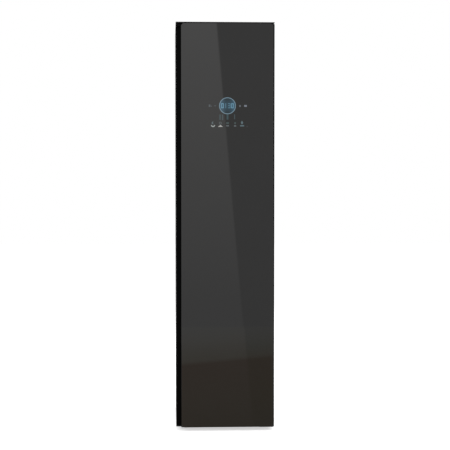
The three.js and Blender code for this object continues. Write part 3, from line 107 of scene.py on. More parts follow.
def on_glass(px, py):
    """Where the line of sight through a pixel meets the front of the glass, as (x, z) in metres."""
    ahead = Vector((math.sin(YAW) * math.cos(PITCH), math.cos(YAW) * math.cos(PITCH), -math.sin(PITCH)))
    right = Vector((math.cos(YAW), -math.sin(YAW), 0))
    line = ahead + right * ((px - IMAGE / 2) / FOCAL) + right.cross(ahead) * ((IMAGE / 2 - py) / FOCAL)
    spot = EYE + line * ((GLASS_FACE - EYE.y) / line.y)
    return spot.x, spot.z


PIXEL = on_glass(228, 105)[0] - on_glass(227, 105)[0]
print("one pixel of the photograph is", round(PIXEL / MM, 2), "mm on the glass")

# %% [markdown]
# ## Shader maths that reads like maths
# A material is a net of small boxes, and a long formula drawn with them is hard to read. `Value` wraps
# the output of a box so that `+`, `-`, `*` and `/` add the box for that sum, and `Graph.node` makes any
# other box from its type, what goes into it and its settings.

# %% Values that add up
class Value:
    """A number, colour or vector that flows through a net."""

    def __init__(self, graph, socket):
        self.graph = graph
        self.socket = socket


def sum_method(operation, swapped):
    def method(self, other):
        pair = (other, self) if swapped else (self, other)
        return self.graph.node("ShaderNodeMath", {0: pair[0], 1: pair[1]}, operation=operation)
    return method


SUMS = {"add": "ADD", "sub": "SUBTRACT", "mul": "MULTIPLY", "truediv": "DIVIDE"}
for word, operation in SUMS.items():
    setattr(Value, f"__{word}__", sum_method(operation, False))
    setattr(Value, f"__r{word}__", sum_method(operation, True))
print("a value can", list(SUMS))


# %% Nets of nodes
class Graph:
    """A net of nodes, in a material, in the world or in a geometry tree."""

    def __init__(self, tree):
        self.tree = tree
        tree.nodes.clear()

    def node(self, kind, inputs=None, output=0, **settings):
        """A new box; each input is a plain setting or the Value that flows in."""
        made = self.tree.nodes.new(kind)
        for key, value in settings.items():
            setattr(made, key, value)
        for key, value in (inputs or {}).items():
            if isinstance(value, Value):
                self.tree.links.new(value.socket, made.inputs[key])
            else:
                made.inputs[key].default_value = value
        return Value(self, made.outputs[output]) if len(made.outputs) else None

    def place(self, stretch=None):
        """The point's own coordinates on the piece, in metres, or drawn out by a stretch."""
        own = self.node("ShaderNodeTexCoord", output=3)
        return self.node("ShaderNodeMapping", {"Vector": own, "Scale": stretch}) if stretch else own

    def axes(self):
        """The three coordinates as separate numbers."""
        place = self.place()
        return [self.node("ShaderNodeSeparateXYZ", {0: place}, i) for i in range(3)]

    def limited(self, value, low, high, to_low=0.0, to_high=1.0):
        """Carries low..high over to to_low..to_high, and stops at both ends."""
        ends = {"From Min": low, "From Max": high, "To Min": to_low, "To Max": to_high}
        return self.node("ShaderNodeMapRange", {"Value": value, **ends}, clamp=True)

    def blended(self, share, first, second):
        """A colour between two colours."""
        return self.node("ShaderNodeMix", {0: share, 6: first, 7: second}, 2, data_type="RGBA")

    def ramp(self, share, stops):
        """A colour that changes with share, from stops of (place, colour)."""
        made = self.node("ShaderNodeValToRGB", {0: share})
        elements = made.socket.node.color_ramp.elements
        while len(elements) < len(stops):
            elements.new(0.5)
        for element, (spot, colour) in zip(elements, stops):
            element.position = spot
            element.color = colour
        return made

    def noise(self, scale, detail=2.0, stretch=None):
        inputs = {"Vector": self.place(stretch), "Scale": scale, "Detail": detail}
        return self.node("ShaderNodeTexNoise", inputs)

    def cells(self, scale, output=0, stretch=None, feature="F1"):
        inputs = {"Vector": self.place(stretch), "Scale": scale}
        return self.node("ShaderNodeTexVoronoi", inputs, output, feature=feature)

    def bump(self, height, distance):
        return self.node("ShaderNodeBump", {"Height": height, "Distance": distance})


def tinted(level, red=1.0, green=1.0, blue=1.0):
    """A grey, or the colour with these parts, at a level."""
    return (level * red, level * green, level * blue, 1.0)


def shader(name, build, kind="ShaderNodeBsdfPrincipled"):
    """A material whose net is drawn by `build(graph)`, which returns what goes into its last box."""
    material = bpy.data.materials.new(name)
    material.use_nodes = True
    graph = Graph(material.node_tree)
    graph.node("ShaderNodeOutputMaterial", {"Surface": graph.node(kind, build(graph))})
    return material


print("graph helpers ready")

# %% [markdown]
# ## White room and soft lamps
# The photograph is cut out on white. The world is full white to the camera and in mirrors but lights
# things more weakly, and the pale floor glows only for what sees it directly. Broad, soft lamps do the
# rest. Turning them up until the floor burns out would also give white, but bleach the cabinet.

# %% World and lamps
FILL = 0.62
LAMP_AIM = Vector((0, 0, 0.9))


def seen(graph):
    """1 for what the camera, a gloss or a clear material sees, 0 for light that falls on things."""
    share = 0.0
    for kind in ("Is Camera Ray", "Is Glossy Ray", "Is Transmission Ray"):
        ray = graph.node("ShaderNodeLightPath", output=kind)
        share = graph.node("ShaderNodeMath", {0: share, 1: ray}, operation="MAXIMUM")
    return share


def hidden_from(made, *kinds):
    for kind in kinds:
        setattr(made, "visible_" + kind, False)


def lamp(name, place, size, watts):
    """A broad lamp that lights the cabinet and doesn't show in it."""
    light = bpy.data.lights.new(name, "AREA")
    light.shape = "RECTANGLE"
    light.size, light.size_y = size
    light.energy = watts
    made = object_of(name, light)
    made.location = place
    made.rotation_euler = (LAMP_AIM - Vector(place)).to_track_quat("-Z", "Y").to_euler()
    hidden_from(made, "glossy", "camera")


world = bpy.data.worlds.new("white_room")
world.use_nodes = True
bpy.context.scene.world = world
room = Graph(world.node_tree)
strength = FILL + (1.0 - FILL) * seen(room)
sky = room.node("ShaderNodeBackground", {"Color": tinted(1.0), "Strength": strength})
room.node("ShaderNodeOutputWorld", {"Surface": sky})
bpy.context.scene.view_settings.view_transform = "Standard"
lamp("front_left_lamp", (-2.6, -3.2, 2.6), (2.0, 2.0), 60)
lamp("front_right_lamp", (2.8, -2.6, 2.2), (2.0, 2.0), 35)
lamp("back_lamp", (1.2, 3.4, 2.6), (2.4, 2.0), 55)
lamp("overhead_lamp", (0, 0, 4.2), (2.6, 2.6), 45)

# %% Floor
FLOOR_REACH = 14.0
FLOOR_GLOW = 0.58


def flat(name, half, near, far, finish):
    """A flat piece of the room from one (y, z) to another, its half width to either side."""
    mesh = bpy.data.meshes.new(name)
    corners = [(side * half, *edge) for edge in (near, far) for side in (-1, 1)]
    mesh.from_pydata(corners, [], [(0, 1, 3, 2)])
    mesh.materials.append(finish)
    made = object_of(name, mesh)
    return made


def floor_paint(graph):
    """Pale paint, and a glow for what sees it directly."""
    paint = graph.node("ShaderNodeBsdfDiffuse", {"Color": tinted(0.8)})
    glow = graph.node("ShaderNodeEmission", {"Color": tinted(1.0), "Strength": FLOOR_GLOW * seen(graph)})
    return {0: paint, 1: glow}


pale_floor = shader("pale_floor", floor_paint, "ShaderNodeAddShader")
flat("floor", FLOOR_REACH, (-FLOOR_REACH, 0), (FLOOR_REACH, 0), pale_floor)
print("floor", 2 * FLOOR_REACH, "m wide")

# %% [markdown]
# ## What the glass mirrors
# Nearly everything on a black glass door is the room in front of it: a bright wall that ends at a
# slanting edge, and a brownish floor below it. Both are drawn on large cards in front of the cabinet that
# only a gloss can see, so the sheen moves as the door turns. A slanting patch painted on the glass would
# look right from one place only.

# %% Mirror places
CARD_Y = -4.0
CARD_HALF = 2.6
FADE = 0.4
EDGE_SOFT = 0.012
MIDDLE = IMAGE / 2
EYE_BEHIND = 2 * GLASS_FACE - EYE.y
GROW = (CARD_Y - EYE_BEHIND) / (GLASS_FACE - EYE_BEHIND)


def on_wall(px, py):
    """Where the wall card has to be painted for it to show at a pixel, as (x, z) in metres."""
    x, z = on_glass(px, py)
    return EYE.x + GROW * (x - EYE.x), EYE.z + GROW * (z - EYE.z)


def on_floor(px, py):
    """Where the mirrored floor lies that shows at a pixel, as (x, y) in metres."""
    x, z = on_glass(px, py)
    far = EYE.z / (EYE.z - z)
    return EYE.x + far * (x - EYE.x), EYE_BEHIND + far * (GLASS_FACE - EYE_BEHIND)


def card(name, near, far, build):
    """A flat card that only glows and that only a gloss sees."""
    finish = shader("mirrored_" + name, build, "ShaderNodeEmission")
    made = flat("reflection_" + name, CARD_HALF, near, far, finish)
    hidden_from(made, "camera", "diffuse", "transmission", "volume_scatter", "shadow")


def faded(graph, across, left, right):
    """1 between left and right, 0 a little outside them, where the card turns white like the room."""
    return graph.limited(across, left - FADE, left) * graph.limited(across, right + FADE, right)


def left_of(graph, across, along, start, end):
    """1 left of the line between two points (across, along), 0 right of it."""
    slope = (end[0] - start[0]) / (end[1] - start[1])
    edge = start[0] + (along - start[1]) * slope
    return graph.limited((edge - across) / EDGE_SOFT, -0.5, 0.5)


def toned(graph, along, at, ends, rows):
    """Half of each row's tone, at the place where `at` puts its row of pixels on the card."""
    low, high = (at(MIDDLE, py)[1] for py in ends)
    stops = sorted(((at(MIDDLE, py)[1] - low) / (high - low), tinted(0.5, *tone)) for py, tone in rows)
    return graph.ramp(graph.limited(along, low, high), stops)


print("one pixel is", round(PIXEL * GROW / MM), "mm on the wall card")

# %% The wall card
WALL_LEFT = [(0, 1.74), (40, 1.66), (150, 1.42), (250, 1.20), (300, 1.08), (350, 1.03), (450, 1.0)]
WALL_RIGHT = [(0, 0.965), (150, 0.945), (300, 0.90), (350, 0.88), (450, 0.85)]
SLANT_TOP = (216.6, 22.7)
SLANT_FOOT = (247.0, 370.0)
WALL_SPAN = (-0.3, 0.65)
WALL_FOOT, WALL_TOP = -1.6, 4.6


def wall_look(graph):
    across, _, up = graph.axes()
    left, right = (toned(graph, up, on_wall, (IMAGE, 0), [(py, [level] * 3) for py, level in rows])
                   for rows in (WALL_LEFT, WALL_RIGHT))
    bright = left_of(graph, across, up, on_wall(*SLANT_TOP), on_wall(*SLANT_FOOT))
    middle = faded(graph, across, *WALL_SPAN)
    level = 2.0 * (bright * left + (1 - bright) * right)
    return {"Color": tinted(1.0, 1.0, 0.995, 0.985), "Strength": middle * level + (1 - middle)}


card("wall", (CARD_Y, WALL_FOOT), (CARD_Y, WALL_TOP), wall_look)
print("the slanting edge runs from", on_wall(*SLANT_TOP), "to", on_wall(*SLANT_FOOT))

# %% The floor card
FLOOR_LEFT = [(326, (1.12, 1.12, 1.08)), (340, (1.09, 1.06, 0.98)), (350, (1.0, 0.95, 0.84)),
              (359, (0.93, 0.86, 0.73)), (363, (0.73, 0.58, 0.47)), (400, (0.69, 0.58, 0.46)),
              (430, (0.62, 0.53, 0.41))]
FLOOR_RIGHT = [(326, (0.96, 0.96, 0.94)), (340, (0.92, 0.91, 0.84)), (350, (0.84, 0.83, 0.73)),
               (359, (0.80, 0.73, 0.61)), (363, (0.64, 0.52, 0.40)), (400, (0.62, 0.52, 0.39)),
               (430, (0.58, 0.50, 0.38))]
FLOOR_ENDS = (320, 450)
SPLIT = [(244.5, 330), (247.4, 363)]
CARPET_EDGE = [(182, 364.5), (272, 356.0)]
CARPET_START = on_floor(MIDDLE, 361)[1]
FLOOR_SPAN = (-0.6, 0.24)
FLOOR_LEAN = 0.1
CARD_GAP = 0.02


def floor_look(graph):
    across, depth, _ = graph.axes()
    (x_left, y_left), (x_right, y_right) = (on_floor(*spot) for spot in CARPET_EDGE)
    askew = (y_right - y_left) / (x_right - x_left)
    straight = depth - (across - x_left) * askew + (CARPET_START - y_left)
    left, right = (toned(graph, straight, on_floor, FLOOR_ENDS, rows) for rows in (FLOOR_LEFT, FLOOR_RIGHT))
    split = left_of(graph, across, depth, *(on_floor(*spot) for spot in SPLIT))
    middle = faded(graph, across + FLOOR_LEAN * depth, *FLOOR_SPAN)
    return {"Color": graph.blended(middle, tinted(0.5), graph.blended(split, right, left)), "Strength": 2.0}


card("floor", (CARD_Y, MM), (GLASS_FACE - CARD_GAP, MM), floor_look)
print("floor card runs out to", CARD_Y, "and the carpet starts at", round(CARPET_START, 2))

# %% [markdown]
# ## Finishes
# Each finish is a small recipe: what the stuff is, how rough it is and which fine marks it carries. Every
# pattern reads the piece's own coordinates in metres, so a grain stays as fine on a small cap as on a
# tall door. Only colour, roughness and the surface normal vary, because an exporter can bake those.

# %% Glass and painted sheet
def glass_look(graph):
    """Black-backed tempered glass: almost no colour of its own, a mirror with the faintest ripple."""
    film = graph.noise(9.0, 4.0)
    return {"Base Color": graph.blended(film, tinted(0.0028), tinted(0.0042, blue=1.06)),
            "Roughness": graph.limited(film, 0.35, 0.7, 0.010, 0.022), "IOR": 1.46,
            "Normal": graph.bump(graph.noise(3.0, 1.0, (1, 1, 0.25)), 0.00002)}


def paint_look(level, gloss=0.42):
    """Powder coat: fine orange peel, a little cloudier here and there."""
    def build(graph):
        grain, cloud = graph.noise(700.0), graph.noise(5.0)
        return {"Base Color": graph.blended(cloud, tinted(level * 0.88), tinted(level * 1.14, blue=1.03)),
                "Roughness": graph.limited(cloud * 0.7 + grain * 0.3, 0.3, 0.7, gloss - 0.03, gloss + 0.05),
                "Specular IOR Level": 0.24, "Normal": graph.bump(grain, 0.000012)}
    return build


def trim_look(graph):
    """The grip and the frame round the glass: satin black anodised aluminium, drawn along its length."""
    draw = graph.noise(260.0, 3.0, (1, 1, 0.01))
    return {"Base Color": graph.blended(graph.noise(5.0), tinted(0.0010), tinted(0.0018)),
            "Roughness": graph.limited(draw, 0.3, 0.7, 0.30, 0.42),
            "Specular IOR Level": 0.025, "Normal": graph.bump(draw, 0.00001)}


black_glass = shader("black_glass", glass_look)
black_trim = shader("black_trim", trim_look)
black_paint = shader("black_powder_coat", paint_look(0.0085))
hinge_paint = shader("hinge_black", paint_look(0.004, 0.5))
charcoal_paint = shader("charcoal_powder_coat", paint_look(0.035))
print("made", len(bpy.data.materials), "finishes so far")


# %% Moulded plastics
def plastic_look(colour, gloss=0.42, grain=0.000012, scale=900.0):
    """Moulded plastic: a spark-eroded grain, faint flow clouds and handling marks."""
    def build(graph):
        flow = graph.noise(3.0, 2.0, (1, 1, 0.4))
        return {"Base Color": graph.blended(flow, tinted(0.95, *colour), tinted(1.04, *colour)),
                "Roughness": graph.limited(graph.noise(7.0), 0.3, 0.7, gloss - 0.04, gloss + 0.06),
                "Normal": graph.bump(graph.noise(scale), grain)}
    return build


dark_plastic = shader("dark_moulded_plastic", plastic_look((0.018, 0.018, 0.020)))
light_plastic = shader("light_moulded_plastic", plastic_look((0.56, 0.57, 0.58), 0.38))
liner_plastic = shader("chamber_liner_plastic", plastic_look((0.50, 0.51, 0.53), 0.34, 0.000006))
bay_plastic = shader("tank_bay_plastic", plastic_look((0.40, 0.41, 0.43), 0.36))
door_liner_plastic = shader("door_liner_plastic", plastic_look((0.46, 0.47, 0.49), 0.36, 0.000006))
rubber = shader("black_rubber", plastic_look((0.022, 0.022, 0.022), 0.68, 0.00003, 600.0))
gasket_rubber = shader("gasket_rubber", plastic_look((0.10, 0.10, 0.105), 0.6, 0.00001))
print("made", len(bpy.data.materials), "finishes so far")


# %% Metals
def brushed_look(colour, gloss, along=(1, 1, 0.02), depth=0.00001):
    """Drawn or rolled metal: long fine lines one way."""
    def build(graph):
        lines = graph.noise(420.0, 4.0, along)
        cloud = graph.noise(7.0, 3.0)
        return {"Base Color": graph.blended(cloud, tinted(0.82, *colour), tinted(1, *colour)),
                "Roughness": graph.limited(lines, 0.3, 0.7, gloss - 0.08, gloss + 0.1),
                "Metallic": 1.0, "Normal": graph.bump(lines, depth)}
    return build


def galvanised_look(graph):
    """Hot-dip zinc: flat crystals of a few millimetres that catch the light each in its own way."""
    flake = graph.node("ShaderNodeSeparateColor", {0: graph.cells(120.0, 1)})
    worn = flake * 0.7 + graph.noise(9.0, 4.0) * 0.3
    return {"Base Color": graph.blended(flake, tinted(0.36), tinted(0.52, 0.99, 1.0, 1.02)),
            "Roughness": graph.limited(worn, 0.0, 1.0, 0.34, 0.56),
            "Metallic": 1.0, "Normal": graph.bump(flake, 0.00003)}


steel = shader("brushed_steel", brushed_look((0.52, 0.52, 0.53), 0.34, (0.02, 1, 1)))
bright_steel = shader("polished_steel", brushed_look((0.62, 0.62, 0.63), 0.20, (0.02, 1, 1), 0.000004))
aluminium = shader("mill_aluminium", brushed_look((0.72, 0.73, 0.74), 0.38, (1, 0.02, 1)))
copper = shader("copper_pipe", brushed_look((0.72, 0.36, 0.22), 0.30, (1, 1, 0.05)))
black_screw = shader("blackened_screw", brushed_look((0.05, 0.05, 0.052), 0.38, (1, 1, 1)))
zinc = shader("galvanised_steel", galvanised_look)
print("made", len(bpy.data.materials), "finishes so far")


# %% Foam, board, lamp, felt and clear stuffs
def foam_look(graph):
    """Expanded foam: closed beads pressed together."""
    bead, tone = graph.cells(260.0, feature="DISTANCE_TO_EDGE"), graph.noise(30.0, 3.0)
    return {"Base Color": graph.blended(tone, (0.52, 0.50, 0.46, 1), (0.62, 0.60, 0.56, 1)),
            "Roughness": graph.limited(bead, 0.0, 0.4, 0.95, 0.8),
            "Normal": graph.bump(graph.limited(bead, 0.0, 0.25), 0.0004)}


def board_look(graph):
    """A printed board: lacquer over copper lands, with paths that run in straight steps."""
    upright = graph.node("ShaderNodeMapping", {"Vector": graph.place(), "Rotation": (math.pi / 2, 0, 0)})
    lands = graph.node("ShaderNodeTexBrick", {
        "Vector": upright, "Color1": tinted(0), "Color2": tinted(0.25), "Mortar": tinted(1), "Scale": 90.0,
        "Mortar Size": 0.035, "Brick Width": 0.9, "Row Height": 0.22}, offset=0.37)
    return {"Base Color": graph.blended(lands, (0.012, 0.05, 0.022, 1), (0.03, 0.11, 0.045, 1)),
            "Roughness": graph.limited(lands, 0.0, 1.0, 0.32, 0.22), "Normal": graph.bump(lands, 0.00005)}


def diffuser_look(graph):
    """Opal lamp cover with fine prisms across it."""
    prisms = graph.node("ShaderNodeMath", {0: graph.axes()[0] * 1600.0}, operation="SINE")
    return {"Base Color": graph.blended(graph.noise(12.0), (0.82, 0.83, 0.84, 1), tinted(0.9)),
            "Roughness": graph.limited(graph.noise(60.0), 0.3, 0.7, 0.35, 0.5),
            "Normal": graph.bump(prisms, 0.0001),
            "Emission Color": (0.9, 0.95, 1.0, 1.0), "Emission Strength": 0.25}


def felt_look(graph):
    """Heat-proof knitted felt: soft loops in staggered rows, with stray fibres."""
    loops, fibre = graph.cells(620.0, 0, (1, 1, 0.7)), graph.noise(900.0, 4.0, (1, 1, 0.4))
    tone = graph.noise(24.0, 3.0) * 0.6 + fibre * 0.4
    return {"Base Color": graph.blended(tone, (0.055, 0.057, 0.062, 1), (0.10, 0.103, 0.11, 1)),
            "Roughness": graph.limited(fibre, 0.2, 0.8, 0.85, 1.0), "Sheen Weight": 0.35,
            "Normal": graph.bump(loops * 0.7 + fibre * 0.3, 0.0005)}


def clear_look(haze_noise, dark, light, rough, clearness, bending):
    """Clear plastic or water with a faint haze in it."""
    def build(graph):
        haze = graph.noise(*haze_noise)
        return {"Base Color": graph.blended(haze, dark, light), "Roughness": graph.limited(haze, *rough),
                "Transmission Weight": clearness, "IOR": bending}
    return build


foam = shader("jacket_foam", foam_look)
board = shader("printed_board", board_look)
diffuser = shader("lamp_diffuser", diffuser_look)
felt = shader("knitted_felt", felt_look)
tank_plastic = shader("smoky_tank_plastic", clear_look(
    (14.0, 4.0), (0.42, 0.46, 0.50, 1), (0.52, 0.56, 0.60, 1), (0.35, 0.7, 0.10, 0.24), 0.82, 1.49))
water = shader("tank_water", clear_look(
    (40.0, 3.0), (0.86, 0.93, 0.96, 1), (0.92, 0.97, 0.99, 1), (0.3, 0.7, 0.02, 0.05), 0.95, 1.33))
print("made", len(bpy.data.materials), "finishes in all")

# %% Finishes of the solids
SLOT_FINISH = {
    "tinted_glass": black_glass, "black_steel": black_paint, "black_trim": black_trim,
    "dark_plastic": dark_plastic, "light_plastic": light_plastic, "clear_plastic": tank_plastic,
    "bare_steel": zinc, "bare_aluminium": aluminium, "rubber": rubber, "foam": foam,
    "board": board, "lamp_white": diffuser,
}
NODE_FINISH = {
    "door_top_cap": black_trim, "door_bottom_cap": black_trim, "chamber_liner": liner_plastic,
    "door_liner": door_liner_plastic, "tank_bay": bay_plastic, "door_gasket": gasket_rubber,
    "door_shell": black_trim, "hanger_bar": bright_steel, "press_pin": steel, "upper_hinge": hinge_paint,
    "lower_hinge": hinge_paint, "compressor": charcoal_paint,
}


def finish_of(node):
    return NODE_FINISH.get(node, SLOT_FINISH[slot_of[node]])


for node, solid in frame["nodes"].items():
    solid.data.materials.clear()
    solid.data.materials.append(finish_of(node))
print("every solid has a finish:", len(frame["nodes"]))

# %% [markdown]
# ## Rounding what the machines left sharp
# No sheet or moulding has knife edges: a press leaves a small radius that catches a thin line of light.
# A solid is a net of loose triangles, so a copy of it is welded, its flat faces are joined up and a
# Bevel modifier rounds the rest. The solid itself stays as it is for the physics.

# %% Work on meshes
SAME_PLACE = 2e-6
SLIVER = 2e-5
FLAT_ANGLE, EDGE_ANGLE, SHADE_ANGLE = 1.0, 40, 50


def settled(piece, body, finish=None, instead_of=()):
    """Gives a finished piece its finish and body, and hides the solids it stands for."""
    if finish:
        piece.data.materials.clear()
        piece.data.materials.append(finish)
    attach(piece, body)
    if instead_of:
        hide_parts(*instead_of)
    return piece


def opened(mesh):
    """A mesh opened for work, with corners joined that fall together."""
    work = bmesh.new()
    work.from_mesh(mesh)
    bmesh.ops.remove_doubles(work, verts=work.verts, dist=SAME_PLACE)
    return work


def welded(piece):
    """Joins corners that fall together and drops faces without area."""
    work = opened(piece.data)
    bmesh.ops.dissolve_degenerate(work, edges=work.edges, dist=SAME_PLACE)
    work.to_mesh(piece.data)
    work.free()
    return piece


def smoothed(piece, angle=40):
    piece.data.shade_smooth()
    piece.data.set_sharp_from_angle(angle=math.radians(angle))
    return piece


def meshed(name, work, shade=None):
    """Ends work on a mesh as a new object, shaded smooth up to an angle."""
    mesh = bpy.data.meshes.new(name)
    work.to_mesh(mesh)
    work.free()
    made = object_of(name, mesh)
    return smoothed(made, shade) if shade else made


def plain(piece):
    """Bakes a piece's modifiers into its mesh."""
    graph = bpy.context.evaluated_depsgraph_get()
    mesh = bpy.data.meshes.new_from_object(piece.evaluated_get(graph))
    piece.modifiers.clear()
    piece.data = mesh
    return piece


def modified(piece, kind, **settings):
    """Runs one modifier on a piece and bakes it."""
    modifier = piece.modifiers.new(kind.lower(), kind)
    for key, value in settings.items():
        setattr(modifier, key, value)
    return plain(piece)


print("mesh helpers ready")


# %% Softened copies
def softened(node, width=0.5, segments=2):
    """A copy of a solid with rounded edges, held inside the solid's own box; width is in millimetres."""
    work = opened(frame["nodes"][node].data)
    bmesh.ops.dissolve_limit(work, angle_limit=math.radians(FLAT_ANGLE), use_dissolve_boundaries=False,
                             verts=work.verts, edges=work.edges)
    bmesh.ops.dissolve_degenerate(work, edges=work.edges, dist=SLIVER)
    piece = meshed(node + "_softened", work)
    modified(piece, "BEVEL", width=width * MM, segments=segments, limit_method="ANGLE",
             angle_limit=math.radians(EDGE_ANGLE))
    low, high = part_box(node)
    for vertex in piece.data.vertices:
        vertex.co = [min(max(value, least), most) for value, least, most in zip(vertex.co, low, high)]
    modified(smoothed(welded(piece), SHADE_ANGLE), "WEIGHTED_NORMAL", keep_sharp=True)
    return settled(piece, body_of[node], finish_of(node), [node])


SOFT = {
    0.3: "lint_filter display_board",
    0.4: "front_frame upper_hinge lower_hinge outlet_grille back_panel drive_frame switch_plunger press_pin",
    0.5: "grip_profile tank_bay supply_tank_lid drain_tank_lid base_pan crank_disc steam_nozzle "
         "cable_gland door_switch door_shell",
    0.6: "door_liner chamber_liner carriage duct_case chamber_lamp fan_shroud",
    0.7: "supply_tank_cap drain_tank_cap",
    0.8: "side_panel_left side_panel_right shelf service_cover press_base gearmotor feed_pump",
    1.0: "door_top_cap door_bottom_cap hanger_bar press_panel control_box blower_motor",
    1.2: "top_cover supply_tank_handle drain_tank_handle",
    1.4: "steam_generator",
    1.5: "insulation_jacket",
}
soft = {node: softened(node, width) for width, nodes in SOFT.items() for node in nodes.split()}
print("softened", len(soft), "solids,", sum(len(p.data.polygons) for p in soft.values()), "faces")

# %% [markdown]
# ## The door glass
# The pane is a sheet of tempered glass with a ground slope, the arris, all round, which draws the thin
# bright line along its left and top edges in the photograph. Its outline is a loop of points that is
# repeated at a few depths, which is finer than a bevel on the coarse solid.

# %% Skins over rings of points
def skinned(name, rings, shade, ends="capped", closed=True):
    """A skin over rings of points, in metres; its ends are capped, joined or open."""
    work = bmesh.new()
    rows = [[work.verts.new(point) for point in ring] for ring in rings]
    if ends == "joined":
        rows.append(rows[0])
    for near, far in zip(rows, rows[1:]):
        count = max(len(near), len(far))
        for i in range(count if closed else count - 1):
            k = (i + 1) % count
            corners = (near[i % len(near)], near[k % len(near)], far[k % len(far)], far[i % len(far)])
            work.faces.new(list(dict.fromkeys(corners)))
    if ends == "capped":
        for end in (rows[0], rows[-1]):
            if len(end) > 2:
                work.faces.new(end)
    if ends != "open":
        bmesh.ops.recalc_face_normals(work, faces=work.faces)
    return meshed(name, work, shade)


def turns(steps):
    """Angles once round."""
    return [2 * math.pi * i / steps for i in range(steps)]


def rounded_loop(x, z, radius, steps):
    """Points and outward directions round an upright rectangle with rounded corners."""
    loop = []
    centres = [(x[1] - radius, z[1] - radius), (x[0] + radius, z[1] - radius),
               (x[0] + radius, z[0] + radius), (x[1] - radius, z[0] + radius)]
    for quarter, (cx, cz) in enumerate(centres):
        for i in range(steps + 1):
            turn = math.radians(90 * (quarter + i / steps))
            way = (math.cos(turn), math.sin(turn))
            loop.append((cx + radius * way[0], cz + radius * way[1], *way))
    return loop


def slab(name, x, z, radius, rungs, steps=10):
    """An upright plate whose rim follows rungs of (inset, y), all in metres."""
    loop = rounded_loop(x, z, radius, steps)
    return skinned(name, [[(px - nx * inset, y, pz - nz * inset) for px, pz, nx, nz in loop]
                          for inset, y in rungs], 30)


def size_of(piece):
    """A piece's size in millimetres."""
    return [round(v / MM, 1) for v in piece.dimensions]


print("skin helpers ready")

# %% The pane
INK = 0.06 * MM
ARRIS = 0.9 * MM
BACK_SLOPE = 0.5 * MM
GLASS_RADIUS = 16 * MM
GROUND_OFF = 0.9 * MM
pane = slab(
    "glass_pane", (GLASS_LOW.x, GLASS_HIGH.x - GROUND_OFF), (GLASS_LOW.z, GLASS_HIGH.z), GLASS_RADIUS,
    [(ARRIS, GLASS_FACE + INK), (0.15 * ARRIS, GLASS_FACE + 0.7 * ARRIS), (0, GLASS_FACE + ARRIS + INK),
     (0, GLASS_HIGH.y - BACK_SLOPE), (BACK_SLOPE, GLASS_HIGH.y)], 16)
settled(pane, "door", black_glass, ["door_glass"])
print("pane", size_of(pane), "mm")

# %% [markdown]
# ## The display behind the glass
# A clear window in the black backing shows a ring with a time in it, small marks at its sides and a row
# of lit words and icons. Each is a few pixels in the photograph, so it is measured in pixels and carried
# to the glass by the camera's own geometry. Words stay plain lit bars. Each mark is a thin plate that
# lies flush in the face of the glass.

# %% Lit marks
PLATE_DEPTH = 0.3 * MM


def lit(graph, guide, rough, dim, full):
    """Glass that glows from dim to full as its light guide says."""
    return {"Base Color": tinted(0.003), "Roughness": graph.limited(guide, *rough), "IOR": 1.46,
            "Emission Color": graph.blended(guide, dim, full), "Emission Strength": 1.0}


def level_of(byte):
    """A picture's 0-255 level as the amount of light it stands for."""
    share = byte / 255
    return share / 12.92 if share <= 0.04045 else ((share + 0.055) / 1.055) ** 2.4


def light_of(red, green, blue, veil=54):
    """The light a mark gives off so that, with the room's sheen over it, it shows as these levels."""
    return [max(level_of(part) - level_of(veil), 0.0) for part in (red, green, blue)]


def mark_look(*levels):
    """A mark that shows as these levels, uneven as the light guide behind it is."""
    colour = light_of(*levels)

    def build(graph):
        dim, full = tinted(0.86, *colour), tinted(1, *colour)
        return lit(graph, graph.noise(220.0), (0.3, 0.7, 0.03, 0.05), dim, full)
    return build


def plates(name, outlines, build, sunk=0.0):
    """Flat lit plates from outlines of (x, z), flush with the glass or sunk; a shared side has no wall."""
    work = bmesh.new()
    corners, walls = {}, {}
    for outline in outlines:
        pairs = []
        for x, z in outline:
            key = round(x / MM, 3), round(z / MM, 3)
            if key not in corners:
                corners[key] = [work.verts.new((x, GLASS_FACE + sunk + y, z)) for y in (0, PLATE_DEPTH)]
            pairs.append(corners[key])
        work.faces.new([front for front, rear in pairs])
        work.faces.new([rear for front, rear in reversed(pairs)])
        for (front, rear), (next_front, next_rear) in zip(pairs, pairs[1:] + pairs[:1]):
            walls.setdefault(frozenset((front, next_front)), []).append((next_front, front, rear, next_rear))
    for same_side in walls.values():
        if len(same_side) == 1:
            work.faces.new(same_side[0])
    bmesh.ops.recalc_face_normals(work, faces=work.faces)
    return settled(meshed(name, work), "door", shader(name + "_light", build))


def bar(px, py, wide, high):
    """A rectangle round a pixel, its sizes in pixels."""
    x, z = on_glass(px, py)
    w, h = wide * PIXEL / 2, high * PIXEL / 2
    return [(x - w, z - h), (x + w, z - h), (x + w, z + h), (x - w, z + h)]


def band(middle, inner, outer, start=0.0, end=360.0, steps=48):
    """A ring or an arc as a row of small four-sided plates."""
    cuts = [math.radians(start + (end - start) * i / steps) for i in range(steps + 1)]
    return [[(middle[0] + r * math.cos(t), middle[1] + r * math.sin(t)) for r, t in
             ((inner, a), (outer, a), (outer, b), (inner, b))] for a, b in zip(cuts, cuts[1:])]


print("mark helpers ready")

# %% Ring and dial
MIDST = RING_X, RING_Z = on_glass(227.5, 105.8)
RING = 8.17 * PIXEL
DIAL = RING - 2.5 * MM


def dial_look(graph):
    """A dim face that is lighter at its flanks than at its top."""
    across, _, up = graph.axes()
    beside = (across - RING_X) * (across - RING_X) * 2.0 - (up - RING_Z) * (up - RING_Z)
    share = graph.limited(beside / (RING * RING) + graph.noise(60.0) * 0.3, -0.5, 1.2)
    top, flank = tinted(1, *light_of(53, 63, 68)), tinted(1, *light_of(66, 92, 108))
    return lit(graph, share, (0, 1, 0.03, 0.04), top, flank)


